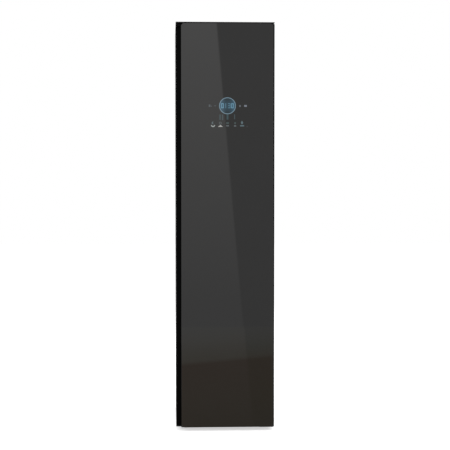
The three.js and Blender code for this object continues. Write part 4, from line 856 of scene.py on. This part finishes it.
plates("dial_ring", band(MIDST, RING - 2.4 * MM, RING + 0.9 * MM), mark_look(121, 146, 160, 60))
face = [(RING_X + DIAL * math.cos(t), RING_Z + DIAL * math.sin(t)) for t in turns(64)]
plates("dial_face", [face], dial_look, INK / 2)
print("ring", round(RING / MM, 1), "mm in radius at", round(RING_X / MM, 1), round(RING_Z / MM, 1))

# %% Digits
SEGMENTS = {"0": "abcdef", "1": "bc", "3": "abgcd"}
DIGIT_LINE = 108.2
DIGIT_GAP = 0.1 * MM
WIDE, HIGH, STROKE = 2.5 * PIXEL, 4.9 * PIXEL, 0.75 * PIXEL


def digit(character, px):
    """Seven-segment strokes of one digit, its lower left corner at a pixel of the digits' foot line."""
    x, z = on_glass(px, DIGIT_LINE)
    segments = SEGMENTS[character]
    half, inner = HIGH / 2, WIDE - STROKE
    top = HIGH - STROKE - DIGIT_GAP if "a" in segments else HIGH
    foot = STROKE + DIGIT_GAP if "d" in segments else 0
    boxes = {
        "a": (0, HIGH - STROKE, WIDE, HIGH), "d": (0, 0, WIDE, STROKE),
        "g": (0, half - STROKE / 2, inner - DIGIT_GAP, half + STROKE / 2),
        "f": (0, half + DIGIT_GAP, STROKE, top), "e": (0, foot, STROKE, half - DIGIT_GAP),
        "b": (inner, half + DIGIT_GAP, WIDE, top), "c": (inner, foot, WIDE, half - DIGIT_GAP),
    }
    found = [boxes[key] for key in segments]
    return [[(x + a, z + b), (x + c, z + b), (x + c, z + d), (x + a, z + d)] for a, b, c, d in found]


plates("dial_digits", digit("0", 221.2) + digit("0", 231.2), mark_look(112, 154, 176, 62))
plates("dial_digits_dim", digit("1", 223.6) + digit("3", 228.0), mark_look(96, 130, 148, 62))
print("digits", round(HIGH / MM, 1), "mm high")

# %% Marks beside and under the dial
VEIL = 67


def icon(px, py, inner, outer, *arc):
    return band(on_glass(px, py), inner * PIXEL, outer * PIXEL, *arc)


for name, outlines, levels in (
    ("left_bars", [bar(209.6, 105.7, 1.7, 2.4), bar(211.4, 106.2, 0.7, 1.0)], (94, 99, 102, VEIL)),
    ("left_dash", [bar(215.1, 105.8, 2.0, 0.9)], (86, 90, 93, VEIL)),
    ("right_dot", [bar(240.0, 106.0, 1.4, 1.8)], (106, 110, 116)),
    ("right_block", [bar(245.5, 105.9, 2.7, 1.9)], (122, 128, 137)),
    ("dim_strokes", [bar(220.1, 117.2, 1.7, 5.4)], (78, 88, 90, VEIL)),
    ("thin_strokes", [bar(222.6, 117.4, 1.1, 5.6), bar(234.6, 116.8, 0.9, 4.8)], (80, 91, 95, 62)),
    ("blue_stroke", [bar(227.5, 117.0, 1.9, 5.2)], (72, 88, 92, 58)),
    ("moon_icon", icon(212.9, 122.9, 0.35, 1.25, 60, 300, 12), (106, 118, 121, VEIL)),
    ("arc_icon", icon(213.0, 124.9, 1.1, 2.2, 185, 355, 14), (158, 164, 162, VEIL)),
    ("loop_icon", icon(220.3, 123.1, 0.7, 1.4), (96, 101, 102, VEIL)),
    ("triangle_icon", [[on_glass(220.6, 124.9), on_glass(217.7, 126.9), on_glass(222.9, 126.9)]],
     (176, 175, 172, VEIL)),
    ("choice_icons", [bar(227.6, 123.1, 2.6, 1.8), bar(235.1, 123.1, 1.6, 1.9)], (78, 89, 89, 56)),
    ("word_bars", [bar(227.6, 125.8, 2.8, 1.2), bar(235.1, 125.9, 2.2, 1.4)], (100, 106, 109, 56)),
    ("drop_icon", [[on_glass(242.0, 120.6), on_glass(240.8, 122.8), on_glass(242.0, 124.6),
                    on_glass(243.2, 122.8)], bar(242.1, 125.8, 4.0, 1.2)], (98, 116, 122)),
    ("end_dot", [bar(247.1, 126.5, 0.9, 0.9)], (78, 80, 83)),
):
    plates(name, outlines, mark_look(*levels))
print("lit marks:", len([m for m in bpy.data.materials if m.name.endswith("_light")]))

# %% [markdown]
# ## Rows, rings and screws grown by Geometry Nodes
# Ribs, fins, blades and screws repeat. Copies made by hand would drift apart, so three small node trees
# set one unit piece in a row, in a ring or at given points. A change of one number moves them all.

# %% Trees for repeats
class Tree(Graph):
    """A geometry tree that sets a unit at points and gives it a finish, with more named inputs."""

    def __init__(self, title, **wanted):
        group = bpy.data.node_groups.new(title, "GeometryNodeTree")
        super().__init__(group)
        self.ids = {}
        common = {"Geometry": "Geometry", "Unit": "Object", "Finish": "Material"}
        for label, kind in {**common, **wanted}.items():
            socket = group.interface.new_socket(label, in_out="INPUT", socket_type="NodeSocket" + kind)
            self.ids[label] = socket.identifier
        group.interface.new_socket("Geometry", in_out="OUTPUT", socket_type="NodeSocketGeometry")
        self.source = group.nodes.new("NodeGroupInput")

    def given(self, label):
        return Value(self, self.source.outputs[label])

    def turned_by(self, angles):
        return self.node("FunctionNodeEulerToRotation", {0: angles})

    def set_at(self, points, **more):
        """Sets the unit at the points and ends the tree."""
        unit = self.node("GeometryNodeObjectInfo", {"Object": self.given("Unit")}, "Geometry")
        units = self.node("GeometryNodeInstanceOnPoints", {"Points": points, "Instance": unit, **more})
        real = self.node("GeometryNodeRealizeInstances", {"Geometry": units})
        done = self.node("GeometryNodeSetMaterial", {"Geometry": real, "Material": self.given("Finish")})
        self.node("NodeGroupOutput", {"Geometry": done})


row_tree = Tree("row_of_units", Count="Int", Start="Vector", Step="Vector")
row_tree.set_at(row_tree.node("GeometryNodeMeshLine", {
    "Count": row_tree.given("Count"), "Start Location": row_tree.given("Start"),
    "Offset": row_tree.given("Step")}, mode="OFFSET"))

ring_tree = Tree("ring_of_units", Count="Int", Radius="Float")
circle = ring_tree.node("GeometryNodeMeshCircle", {
    "Vertices": ring_tree.given("Count"), "Radius": ring_tree.given("Radius")})
share = ring_tree.node("GeometryNodeInputIndex") / ring_tree.given("Count")
turn = ring_tree.node("ShaderNodeCombineXYZ", {"Z": share * (2 * math.pi)})
ring_tree.set_at(circle, Rotation=ring_tree.turned_by(turn))

screw_tree = Tree("screws_at_points", Facing="Vector", Seed="Int")
spin = screw_tree.node("FunctionNodeRandomValue", {
    "Max": 2 * math.pi, "Seed": screw_tree.given("Seed")}, 1, data_type="FLOAT")
spin = screw_tree.turned_by(screw_tree.node("ShaderNodeCombineXYZ", {"Z": spin}))
facing = screw_tree.turned_by(screw_tree.given("Facing"))
spun = screw_tree.node("FunctionNodeRotateRotation", {0: facing, 1: spin}, rotation_space="LOCAL")
screw_tree.set_at(screw_tree.given("Geometry"), Rotation=spun)
print("trees:", [g.name for g in bpy.data.node_groups])


# %% Growing and cutting
def mm(*numbers):
    return tuple(n * MM for n in numbers)


def box_mm(node):
    """The lowest and highest corner of a solid in millimetres."""
    return [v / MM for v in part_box(node)]


def drop(*things):
    for thing in things:
        bpy.data.objects.remove(thing, do_unlink=True)


def grown(name, tree, points=((0, 0, 0),), **values):
    """Runs a tree on a new object and keeps the result as a plain mesh."""
    mesh = bpy.data.meshes.new(name)
    mesh.from_pydata(list(points), [], [])
    made = object_of(name, mesh)
    modifier = made.modifiers.new("grow", "NODES")
    modifier.node_group = tree.tree
    for label, value in values.items():
        modifier[tree.ids[label]] = value
    made.update_tag()
    bpy.context.view_layer.update()
    return plain(made)


def row(name, unit, count, start, step, finish):
    """Units in a row, in millimetres, in place of the one unit."""
    made = grown(name, row_tree, Unit=unit, Count=count, Start=mm(*start), Step=mm(*step), Finish=finish)
    drop(unit)
    return made


def ring(name, unit, count, radius, finish):
    """Units round the upright axis, in place of the one unit."""
    made = grown(name, ring_tree, Unit=unit, Count=count, Radius=radius * MM, Finish=finish)
    drop(unit)
    return made


def block(name, x, y, z, edge=0.5, segments=2):
    """A box between given sides, in millimetres, with rounded edges."""
    work = bmesh.new()
    bmesh.ops.create_cube(work, size=1.0)
    size = Vector((x[1] - x[0], y[1] - y[0], z[1] - z[0])) * MM
    centre = Vector((x[1] + x[0], y[1] + y[0], z[1] + z[0])) * MM / 2
    place = Matrix.Translation(centre) @ Matrix.Diagonal((*size, 1))
    bmesh.ops.transform(work, matrix=place, verts=work.verts)
    if edge:
        bmesh.ops.bevel(work, geom=work.edges, offset=edge * MM, segments=segments, affect="EDGES",
                        profile=0.5)
    return meshed(name, work, 35)


def turned(name, profile, axis="z", centre=(0, 0, 0), steps=40):
    """A round piece spun from (radius, distance along the axis) in mm; a closed line gives a ring."""
    hollow = profile[0] == profile[-1]
    rings = []
    for radius, along in profile[:-1] if hollow else profile:
        angles = turns(steps) if radius else [0]
        rings.append([mm(radius * math.cos(t), radius * math.sin(t), along) for t in angles])
    made = skinned(name, rings, 40, "joined" if hollow else "capped")
    upright = {"x": Matrix.Rotation(math.pi / 2, 4, "Y"), "y": Matrix.Rotation(-math.pi / 2, 4, "X"),
               "z": Matrix.Identity(4)}
    made.data.transform(Matrix.Translation(Vector(mm(*centre))) @ upright[axis])
    return made


def rod(name, radius, ends, axis="z", centre=(0, 0, 0), steps=40):
    """A plain round bar between two distances along its axis."""
    profile = [(0, ends[0]), (radius, ends[0]), (radius, ends[1]), (0, ends[1])]
    return turned(name, profile, axis, centre, steps)


def joined(name, *parts):
    """Several pieces as one mesh."""
    work = bmesh.new()
    for part in parts:
        work.from_mesh(part.data)
    drop(*parts)
    return meshed(name, work, 40)


def carved(piece, *cutters):
    """Cuts the cutters' shapes out of a piece."""
    tool = joined("cutter", *cutters)
    modified(piece, "BOOLEAN", operation="DIFFERENCE", solver="EXACT", use_self=True, object=tool)
    drop(tool)
    return modified(smoothed(welded(piece)), "WEIGHTED_NORMAL", keep_sharp=True)


print("growing and cutting ready")

# %% [markdown]
# ## Screws
# A pan-head screw with a cross in its head is a turned outline with two crossed bars cut out. It is made
# once and set at each place by the third tree, each one turned by its own amount, because no fitter
# leaves all the crosses in line.

# %% Screws
PAN_HEAD = [(0, -1.2), (2.9, -1.2), (3.0, 0.0), (2.8, 0.55), (2.1, 1.0), (1.1, 1.2), (0, 1.24)]
CROSS = [((-1.7, 1.7), (-0.35, 0.35), (0.5, 2)), ((-0.35, 0.35), (-1.7, 1.7), (0.45, 2))]
QUARTER = math.pi / 2
FACING = {"front": (QUARTER, 0, 0), "back": (-QUARTER, 0, 0), "up": (0, 0, 0), "down": (math.pi, 0, 0)}
screw_unit = carved(turned("screw_unit", PAN_HEAD, steps=14), *(block("bar", *sides, 0) for sides in CROSS))


def screws(name, places, facing, seed):
    """Blackened screws at places in millimetres."""
    made = grown(name, screw_tree, [mm(*p) for p in places], Unit=screw_unit, Facing=FACING[facing],
                 Seed=seed, Finish=black_screw)
    return settled(made, "cabinet")


print("screw unit faces:", len(screw_unit.data.polygons))

# %% [markdown]
# ## The back
# Long beads that a press rolls into it stiffen the back sheet, and a row of screws round its edge holds
# it, each in a dimple so that nothing stands out when the cabinet is pushed against a wall. The beads
# and dimples are cut out of the softened copy.

# %% Back panel
DIMPLE = [(0, -1.2), (3.9, -1.2), (5.2, 0.4), (0, 0.4)]
EDGE_SCREWS = (40, 330, 620, 910, 1200, 1490, 1825)
BEADS = ((330, 880), (940, 1480))
SCREW_INSET, BEAD_HALF = 12, 7
low, high = box_mm("back_panel")
screw_places = [(x, z) for z in EDGE_SCREWS for x in (low.x + SCREW_INSET, high.x - SCREW_INSET)]
screw_places += [(x, z) for x in (-105, 0, 105) for z in (low.z + SCREW_INSET, high.z - 10)]
dimples = [turned("dimple", DIMPLE, "y", (x, high.y, z), 20) for x, z in screw_places]
beads = [block("bead", (x - BEAD_HALF, x + BEAD_HALF), (high.y - 0.9, high.y + 2), ends, 0.6)
         for ends in BEADS for x in (-140, -70, 0, 70, 140)]
panel = carved(soft["back_panel"], *dimples, *beads)
screws("back_screws", [(x, high.y - 1.26, z) for x, z in screw_places], "back", 4)
print("back panel faces:", len(panel.data.polygons), "screws:", len(screw_places))

# %% [markdown]
# ## The door gasket
# The seal round the mouth is a soft extruded strip: a flat foot that snaps into the door, a thin bellows
# and a magnet bulb that pulls itself to the steel frame. It is one outline carried round a loop.

# %% Gasket
SEAL = [(6, 0), (6, 0.16), (3.2, 0.2), (5.2, 0.36), (5.4, 0.48), (3.4, 0.56), (5.6, 0.66), (5.9, 0.9),
        (5.2, 1.0)]
SEAL_HALF = 6 * MM
SEAL_RADIUS = 9 * MM
low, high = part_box("door_gasket")
outline = [(-out, share) for out, share in SEAL] + SEAL[::-1]
outline = [(out * MM, low.y + share * (high.y - low.y)) for out, share in outline]
path = rounded_loop((low.x + SEAL_HALF, high.x - SEAL_HALF), (low.z + SEAL_HALF, high.z - SEAL_HALF),
                    SEAL_RADIUS, 8)
seal = skinned("gasket_bellows", [[(px + nx * out, y, pz + nz * out) for out, y in outline]
                                  for px, pz, nx, nz in path], 50, "joined")
settled(seal, "door", gasket_rubber, ["door_gasket"])
print("gasket", size_of(seal), "mm")

# %% [markdown]
# ## Levelling feet
# Each foot is a rubber pad on a threaded stud with a nut under the base. The thread is a surface whose
# radius rises and falls as it climbs, so it is one closed skin with no loose coil.

# %% Feet
STUD_RADIUS, THREAD_DEEP, THREAD_PITCH = 5.0, 0.6, 1.25
NUT = [(0, 11.7), (8.2, 11.7), (9, 12.3), (9, 16.1), (8.2, 16.7), (0, 16.7)]


def threaded(name, z, steps=20, rounds=4):
    """A threaded stud: its radius follows a triangle wave that climbs one pitch in each turn."""
    rows = int((z[1] - z[0]) / THREAD_PITCH * rounds)
    rings = []
    for k in range(rows + 1):
        height = z[0] + (z[1] - z[0]) * k / rows
        radii = [STUD_RADIUS - THREAD_DEEP * abs(2 * ((height / THREAD_PITCH - i / steps) % 1.0) - 1)
                 for i in range(steps)]
        rings.append([mm(r * math.cos(t), r * math.sin(t), height) for r, t in zip(radii, turns(steps))])
    return skinned(name, rings, 60)


for node in ("front_foot_left", "front_foot_right", "rear_foot_left", "rear_foot_right"):
    low, high = box_mm(node)
    half = (high.x - low.x) / 2
    sole = turned("pad", [(0, 0), (half - 1.5, 0), (half, 1.2), (half, 6.0), (half - 1.2, 7.4),
                          (half - 4, 8.2), (11, 9.0), (0, 9.0)], steps=48)
    grips = ring("grips", block("grip", (-0.7, 0.2), (-1.2, 1.2), (1.8, 5.6), 0.2), 24, half, rubber)
    pad = joined(node + "_pad", sole, grips)
    stud = joined(node + "_stud", turned("nut", NUT, steps=6), threaded("stud", (8.9, high.z)))
    for piece in (pad, stud):
        piece.data.transform(Matrix.Translation(mm((low.x + high.x) / 2, (low.y + high.y) / 2, 0)))
    settled(pad, body_of[node], rubber, [node])
    settled(stud, body_of[node], steel)
print("feet, each", size_of(pad), "mm")

# %% [markdown]
# ## Inside the chamber
# The chamber is one deep-drawn tub of light plastic. Its walls carry shallow upright ribs that keep wet
# clothes off the wall. The ribs of each wall are one row from the first tree.

# %% Wall ribs
WALL = 3.0
RIBS, RIB_CLEAR = 11, 60
BACK_RIB_FOOT = 600
low, high = box_mm("chamber_liner")
rib_foot, rib_head = box_mm("shelf")[1].z + RIB_CLEAR, high.z - RIB_CLEAR
ribs = row("back_wall_ribs", block("rib", (-4, 4), (-1.6, 0.6), (BACK_RIB_FOOT, rib_head), 1.4, 3), RIBS,
           (-150, high.y - WALL, 0), (30, 0, 0), liner_plastic)
settled(ribs, "cabinet")
for side, name in ((-1, "left"), (1, "right")):
    ribs = row(f"{name}_wall_ribs", block("rib", (-1.4, 1.4), (-4, 4), (rib_foot, rib_head), 1.2, 3), RIBS,
               (side * (high.x - WALL + 0.2), -160, 0), (0, 31, 0), liner_plastic)
    settled(ribs, "cabinet")
print("ribs from", round(rib_foot), "to", round(rib_head), "mm up")

# %% [markdown]
# ## Heat exchanger, blower and fans
# Warm dry air is the other half of the machine. Under the floor, two finned coils take the water out of
# the air and warm it again, a long drum blower moves it and a small axial fan cools the room. The fins
# are rows of flat leaves, and the blades are rings of curved strips.

# %% Finned coils
COIL_DEPTH = 34
FINS = 120
TUBE_RADIUS, TUBE_FOOT, TUBE_STEP = 3.2, 14, 22
low, high = box_mm("heat_exchanger")
coils, pipes = [], []
for front in (low.y, high.y - COIL_DEPTH):
    y = (front, front + COIL_DEPTH)
    fins = row("fins", block("fin", (-0.12, 0.12), y, (low.z + 1, high.z - 1), 0), FINS, (low.x + 12, 0, 0),
               ((high.x - low.x - 24) / (FINS - 1), 0, 0), aluminium)
    ends = [block("end", (x, x + 1.5), y, (low.z, high.z), 0.3) for x in (low.x + 8, high.x - 9.5)]
    coils.append(joined("coil", fins, *ends))
    heights = [low.z + TUBE_FOOT + k * TUBE_STEP for k in range(5)]
    pipes += [rod("tube", TUBE_RADIUS, (low.x + 3, high.x - 3), "x", (0, y, z), 12)
              for z in heights for y in (front + 9, front + 25)]
coil = joined("finned_coils", *coils)
settled(coil, "cabinet", aluminium, ["heat_exchanger"])
settled(joined("coil_tubes", *pipes), "cabinet", copper)
print("fins:", 2 * FINS, "tubes:", len(pipes))

# %% Cooling fan
HUB, TIP = 17.0, 52.0
FAN_Z = 150.0
FAN_BLADES, FAN_THICK = 7, 1.2
ROOT_PITCH, PITCH_LOSS, SWEEP = 46, 20, 10
ROOT_CHORD, CHORD_GAIN, CAMBER = 12, 10, 1.6


def blade(name, stations, thick):
    """A thin curved blade: each station is a row of points, and the skin is given a thickness."""
    rings = [[mm(*point) for point in station] for station in stations]
    made = modified(skinned(name, rings, None, "open", False), "SOLIDIFY", thickness=thick * MM, offset=0)
    return smoothed(made, 60)


def fan_station(share, top):
    """A row of points across the blade, from the hub at 0 to the tip at 1, no higher than top."""
    r = HUB - 1 + (TIP - HUB + 1) * share
    pitch, sweep = math.radians(ROOT_PITCH - PITCH_LOSS * share), math.radians(SWEEP * share)
    chord = ROOT_CHORD + CHORD_GAIN * share
    points = []
    for i in range(7):
        s = (i / 6 - 0.5) * chord
        turn = sweep + s * math.cos(pitch) / r
        up = s * math.sin(pitch) * 0.95 + CAMBER * (1 - (2 * i / 6 - 1) ** 2)
        points.append((r * math.cos(turn), r * math.sin(turn), max(-top, min(top, up))))
    return points


low, high = box_mm("cooling_fan")
deep = (high.y - low.y) / 2
vane = blade("fan_blade", [fan_station(k / 6, deep - 0.8) for k in range(7)], FAN_THICK)
hub = turned("hub", [(0, 1 - deep), (14, 1 - deep), (HUB, 3.5 - deep), (HUB, deep - 1), (5, deep - 1),
                     (0, deep - 1)])
fan = joined("fan_wheel", ring("blades", vane, FAN_BLADES, 0.0, dark_plastic), hub)
place = Matrix.Translation(mm((low.x + high.x) / 2, (low.y + high.y) / 2, FAN_Z))
fan.data.transform(place @ Matrix.Rotation(-math.pi / 2, 4, "X"))
settled(fan, "fan", dark_plastic, ["cooling_fan"])
print("fan", size_of(fan), "mm")

# %% Drum blower
VANES, AXLE_END = 36, 18
low, high = box_mm("blower_wheel")
radius = (high.z - low.z) / 2
half = (high.x - low.x) / 2 - AXLE_END
profile = [(radius - 12 + 11 * t, 5.0 * t ** 2 - 2) for t in (i / 6 for i in range(7))]
vane = blade("drum_blade", [[(r, s, a) for r, s in profile] for a in (1 - half, half - 1)], 0.9)
vanes = ring("vanes", vane, VANES, 0.0, dark_plastic)
RIM = [(radius - 13, -1.5), (radius, -1.5), (radius, 1.5), (radius - 13, 1.5), (radius - 13, -1.5)]
rims = [turned("rim", [(r, a + along) for r, along in RIM], steps=48) for a in (1.5 - half, half - 1.5)]
web = rod("web", radius - 1, (-1.5, 1.5), steps=48)
drum = joined("drum_blower", vanes, *rims, web, rod("axle", 4, (low.x, high.x), steps=16))
place = Matrix.Translation(mm(0, (low.y + high.y) / 2, (low.z + high.z) / 2))
drum.data.transform(place @ Matrix.Rotation(math.pi / 2, 4, "Y"))
settled(drum, "blower", dark_plastic, ["blower_wheel"])
print("drum blower", size_of(drum), "mm")

# %% [markdown]
# ## The trouser press
# On the inside of the door a hinged panel clamps a pair of trousers flat against a base. Steam has to
# reach the cloth, so the panel is pierced all over with short slots, cut by a row of rows of rounded
# bars, and the base carries a pressing pad of knitted felt.

# %% Press slots and pad
SLOT_STEP, ROW_STEP = 40, 32
SLOTS, ROWS = 6, 17
PAD_HALF = 128 * MM
PAD_BACK = -240.7 * MM
low, high = box_mm("press_panel")
slot = block("slot", (-15, 15), (low.y - 2, high.y + 2), (-2.2, 2.2), 2.1, 3)
slots = row("slot_row", slot, SLOTS, (-SLOT_STEP * (SLOTS - 1) / 2, 0, 0), (SLOT_STEP, 0, 0), dark_plastic)
foot = (low.z + high.z) / 2 - ROW_STEP * (ROWS - 1) / 2
grid = row("slot_grid", slots, ROWS, (0, 0, foot), (0, 0, ROW_STEP), dark_plastic)
clamp = carved(soft["press_panel"], grid)
low, high = box_mm("press_base")
pad = slab("pressing_pad", (-PAD_HALF, PAD_HALF), mm(low.z + 12, high.z - 12), 9 * MM,
           [(0, PAD_BACK), (0, PAD_BACK + 1.1 * MM), (0.8 * MM, PAD_BACK + 1.7 * MM)])
settled(pad, "door", felt)
print("press slots:", ROWS * SLOTS, "faces:", len(clamp.data.polygons))

# %% [markdown]
# ## Water tanks
# Both tanks are of smoke-tinted plastic, so that the water level shows. A clear thing needs real
# thickness and real water in it: the walls are the solid's own, and the water is a separate body with a
# level top just inside them. Filling marks and a plain drop stand out of the front wall.

# %% Tanks, water and marks
TANK_WALL = 2.2
WATER_GAP, HEADROOM = 0.35, 14
DROP_RADIUS = 9.0
DROP = [(DROP_RADIUS * math.sin(t) * math.sin(t / 2) ** 1.5, DROP_RADIUS * 1.25 * math.cos(t))
        for t in turns(40)]
for side, filled in (("supply", 0.72), ("drain", 0.22)):
    node = side + "_tank"
    softened(node, 1.4, 3)
    low, high = box_mm(node)
    gap = TANK_WALL + WATER_GAP
    level = low.z + TANK_WALL + (high.z - low.z - HEADROOM) * filled
    pool = block(side + "_water", (low.x + gap, high.x - gap), (low.y + gap, high.y - gap),
                 (low.z + gap, level), 6.5, 4)
    settled(pool, node, water)
    marks = row(side + "_level_marks", block("mark", (-9, 9), (-0.45, 0.1), (-0.5, 0.5), 0.15), 6,
                (low.x + 26, low.y, low.z + 22), (0, 0, 18), light_plastic)
    cx, cz = (low.x + high.x) / 2 + 40, low.z + 62
    sign = skinned("drop", [[mm(cx + a, low.y + y, cz + b) for a, b in DROP] for y in (-0.45, 0.1)], 40)
    settled(joined(side + "_tank_marks", marks, sign), node, light_plastic)
    print(side, "water", size_of(pool), "mm")

# %% [markdown]
# ## Compressor and steam generator
# The compressor is a deep-drawn steel can, welded round its waist, on a foot plate with rubber mounts.
# It is drawn anew, because the weld and the mounts tell the eye its size. The softened steam generator
# only gets a row of ribs on top.

# %% Compressor
WAIST = 132
MOUNT_OUT = 57
low, high = box_mm("compressor")
cx, cy = (low.x + high.x) / 2, (low.y + high.y) / 2
plate_low, plate_high, can_top = low.z + 14, low.z + 18, high.z - 24
middle = (plate_high + can_top) / 2
can = turned("can", [
    (0, plate_high - 2), (42, plate_high - 2), (54, plate_high + 9), (58, plate_high + 22), (58, WAIST),
    (59.2, WAIST + 0.6), (59.6, WAIST + 2.5), (59.2, WAIST + 4.4), (58, WAIST + 5), (58, can_top - 22),
    (56, can_top - 13), (50, can_top - 6), (38, can_top - 2), (16, can_top), (0, can_top)],
    "z", (cx, cy, 0), 64)
stub = turned("stub", [(0, can_top - 6), (5, can_top - 6), (5, high.z - 1), (4.2, high.z), (0, high.z)], "z",
              (cx, cy, 0), 20)
foot_plate = block("foot_plate", (low.x, high.x), (low.y, high.y), (plate_low, plate_high), 1.2)
body = joined("compressor_can", can, stub, foot_plate)
settled(body, "cabinet", charcoal_paint, ["compressor"])
MOUNT = [(0, 0), (11, 0), (11, 5), (8.6, 7), (11, 9), (11, 18), (9.8, 19.4), (0, 19.4)]
places = [(cx + a, cy + b, low.z) for a in (-MOUNT_OUT, MOUNT_OUT) for b in (-MOUNT_OUT, MOUNT_OUT)]
mounts = [turned("mount", MOUNT, "z", place, 24) for place in places]
settled(joined("compressor_mounts", *mounts), "cabinet", rubber)
terminal = block("terminal", (cx - 22, cx + 22), (cy - 78, cy - 50), (middle - 23, middle + 23), 2.5, 3)
settled(terminal, "cabinet", dark_plastic)
print("compressor", size_of(body), "mm")

# %% Steam generator
low, high = box_mm("steam_generator")
rib = block("rib", (-1.4, 1.4), (low.y + 6, high.y - 6), (high.z - 14, high.z - 8.6), 0.6)
ribs = row("generator_ribs", rib, 9, (low.x + 18, 0, 0), (15.5, 0, 0), aluminium)
settled(ribs, "cabinet")
print("generator", [round(v) for v in high - low], "mm")

# %% [markdown]
# ## The hoses
# Steam and water run through rubber hoses, and a spring clip squeezes each onto its spigot. The solid
# draws a hose as short straight lengths. Walking through its mesh from ring to ring finds the middle
# line, and a curve with a round bevel through those points bends the way a real hose does.

# %% Middle line of a hose
HANDLE = 6 * MM


def middle_line(node, sides=8):
    """The centres of a hose's rings, from its lowest ring up to where its shape changes."""
    work = opened(frame["nodes"][node].data)
    work.verts.index_update()
    ring_now = sorted(work.verts, key=lambda vert: vert.co.z)[:sides]
    passed, centres = set(ring_now), []
    while len(ring_now) == sides:
        centres.append(sum((vert.co for vert in ring_now), Vector()) / sides)
        onward = {edge.other_vert(vert) for vert in ring_now for edge in vert.link_edges} - passed
        ring_now = sorted(onward, key=lambda vert: vert.index)
        passed.update(ring_now)
    work.free()
    return centres


def hose(name, centres, radius, first_way, last_way):
    """A closed tube through the centres that leaves and arrives in the given directions."""
    curve = bpy.data.curves.new(name, "CURVE")
    curve.dimensions = "3D"
    curve.bevel_depth = radius * MM
    curve.bevel_resolution = 4
    curve.use_fill_caps = True
    line = curve.splines.new("BEZIER")
    line.resolution_u = 3
    line.bezier_points.add(len(centres) - 1)
    for point, centre in zip(line.bezier_points, centres):
        point.co = centre
        point.handle_left_type = point.handle_right_type = "AUTO"
    for point, way in ((line.bezier_points[0], first_way), (line.bezier_points[-1], last_way)):
        point.handle_left_type = point.handle_right_type = "FREE"
        point.handle_left = point.co - Vector(way) * HANDLE
        point.handle_right = point.co + Vector(way) * HANDLE
    bent = object_of(name, curve)
    graph = bpy.context.evaluated_depsgraph_get()
    work = opened(bpy.data.meshes.new_from_object(bent.evaluated_get(graph)))
    drop(bent)
    bmesh.ops.recalc_face_normals(work, faces=work.faces)
    return meshed(name, work, 50)


print("hose helpers ready")

# %% Hoses and clips
STEAM_RADIUS, FEED_RADIUS = 7, 6
UP, TO_FRONT = (0, 0, 1), (0, -1, 0)
CLIP_RISE = Vector((0, 0, 4))


def clip(name, start, inner):
    """An upright spring clip with two finger tabs, a little above the start of a hose."""
    x, y, z = place = start / MM + CLIP_RISE
    bore, rim = inner - 0.3, inner + 1.1
    outline = [(bore, 0), (rim - 0.2, 0), (rim, 0.3), (rim, 5.7), (rim - 0.2, 6), (bore, 6), (bore, 0)]
    reach = (x + inner + 0.7, x + inner + 5.5)
    tabs = [block("tab", reach, (y + s - 0.5, y + s + 0.5), (z + 1, z + 5), 0.2, 1) for s in (-2.4, 2.4)]
    whole = joined(name, turned("clip_ring", outline, "z", place, 32), *tabs)
    return settled(whole, "cabinet", zinc)


steam_line, feed_line = middle_line("steam_hose"), middle_line("feed_hose")
steam = hose("steam_hose_bent", steam_line, STEAM_RADIUS, UP, TO_FRONT)
settled(steam, "cabinet", rubber, ["steam_hose"])
clip("steam_clip", steam_line[0], STEAM_RADIUS)
low, high = box_mm("feed_hose")
top = (high.x - 12, low.y + 12, high.z)
tube = hose("tube", feed_line + [Vector(mm(top[0], top[1], top[2] - 3))], FEED_RADIUS, UP, UP)
collar = turned("collar", [(0, -6), (11.2, -6), (12, -5.2), (12, -0.8), (11.2, 0), (0, 0)], "z", top)
settled(joined("feed_hose_bent", tube, collar), "cabinet", rubber, ["feed_hose"])
clip("feed_clip", feed_line[0], FEED_RADIUS)
print("hoses through", len(steam_line), "and", len(feed_line), "rings")

# %% Screws on the covers
NOZZLE_SCREW_Z = 526
low, high = box_mm("service_cover")
screws("cover_screws", [(x, low.y, z) for x in (low.x + 9, high.x - 9) for z in (low.z + 9, high.z - 9)],
       "front", 7)
low, high = box_mm("steam_nozzle")
screws("nozzle_screws", [(x, low.y + 9.2, NOZZLE_SCREW_Z) for x in (-16, 16)], "front", 8)
low, high = box_mm("control_box")
screws("control_screws", [(x, y, high.z) for x in (low.x + 8, high.x - 8) for y in (low.y + 8, high.y - 8)],
       "up", 9)
low, high = box_mm("base_pan")
screws("base_screws", [(x, y, low.z) for x in (-205, -70, 70, 205) for y in (-215, 270)], "down", 10)
drop(screw_unit)
print("screws set")
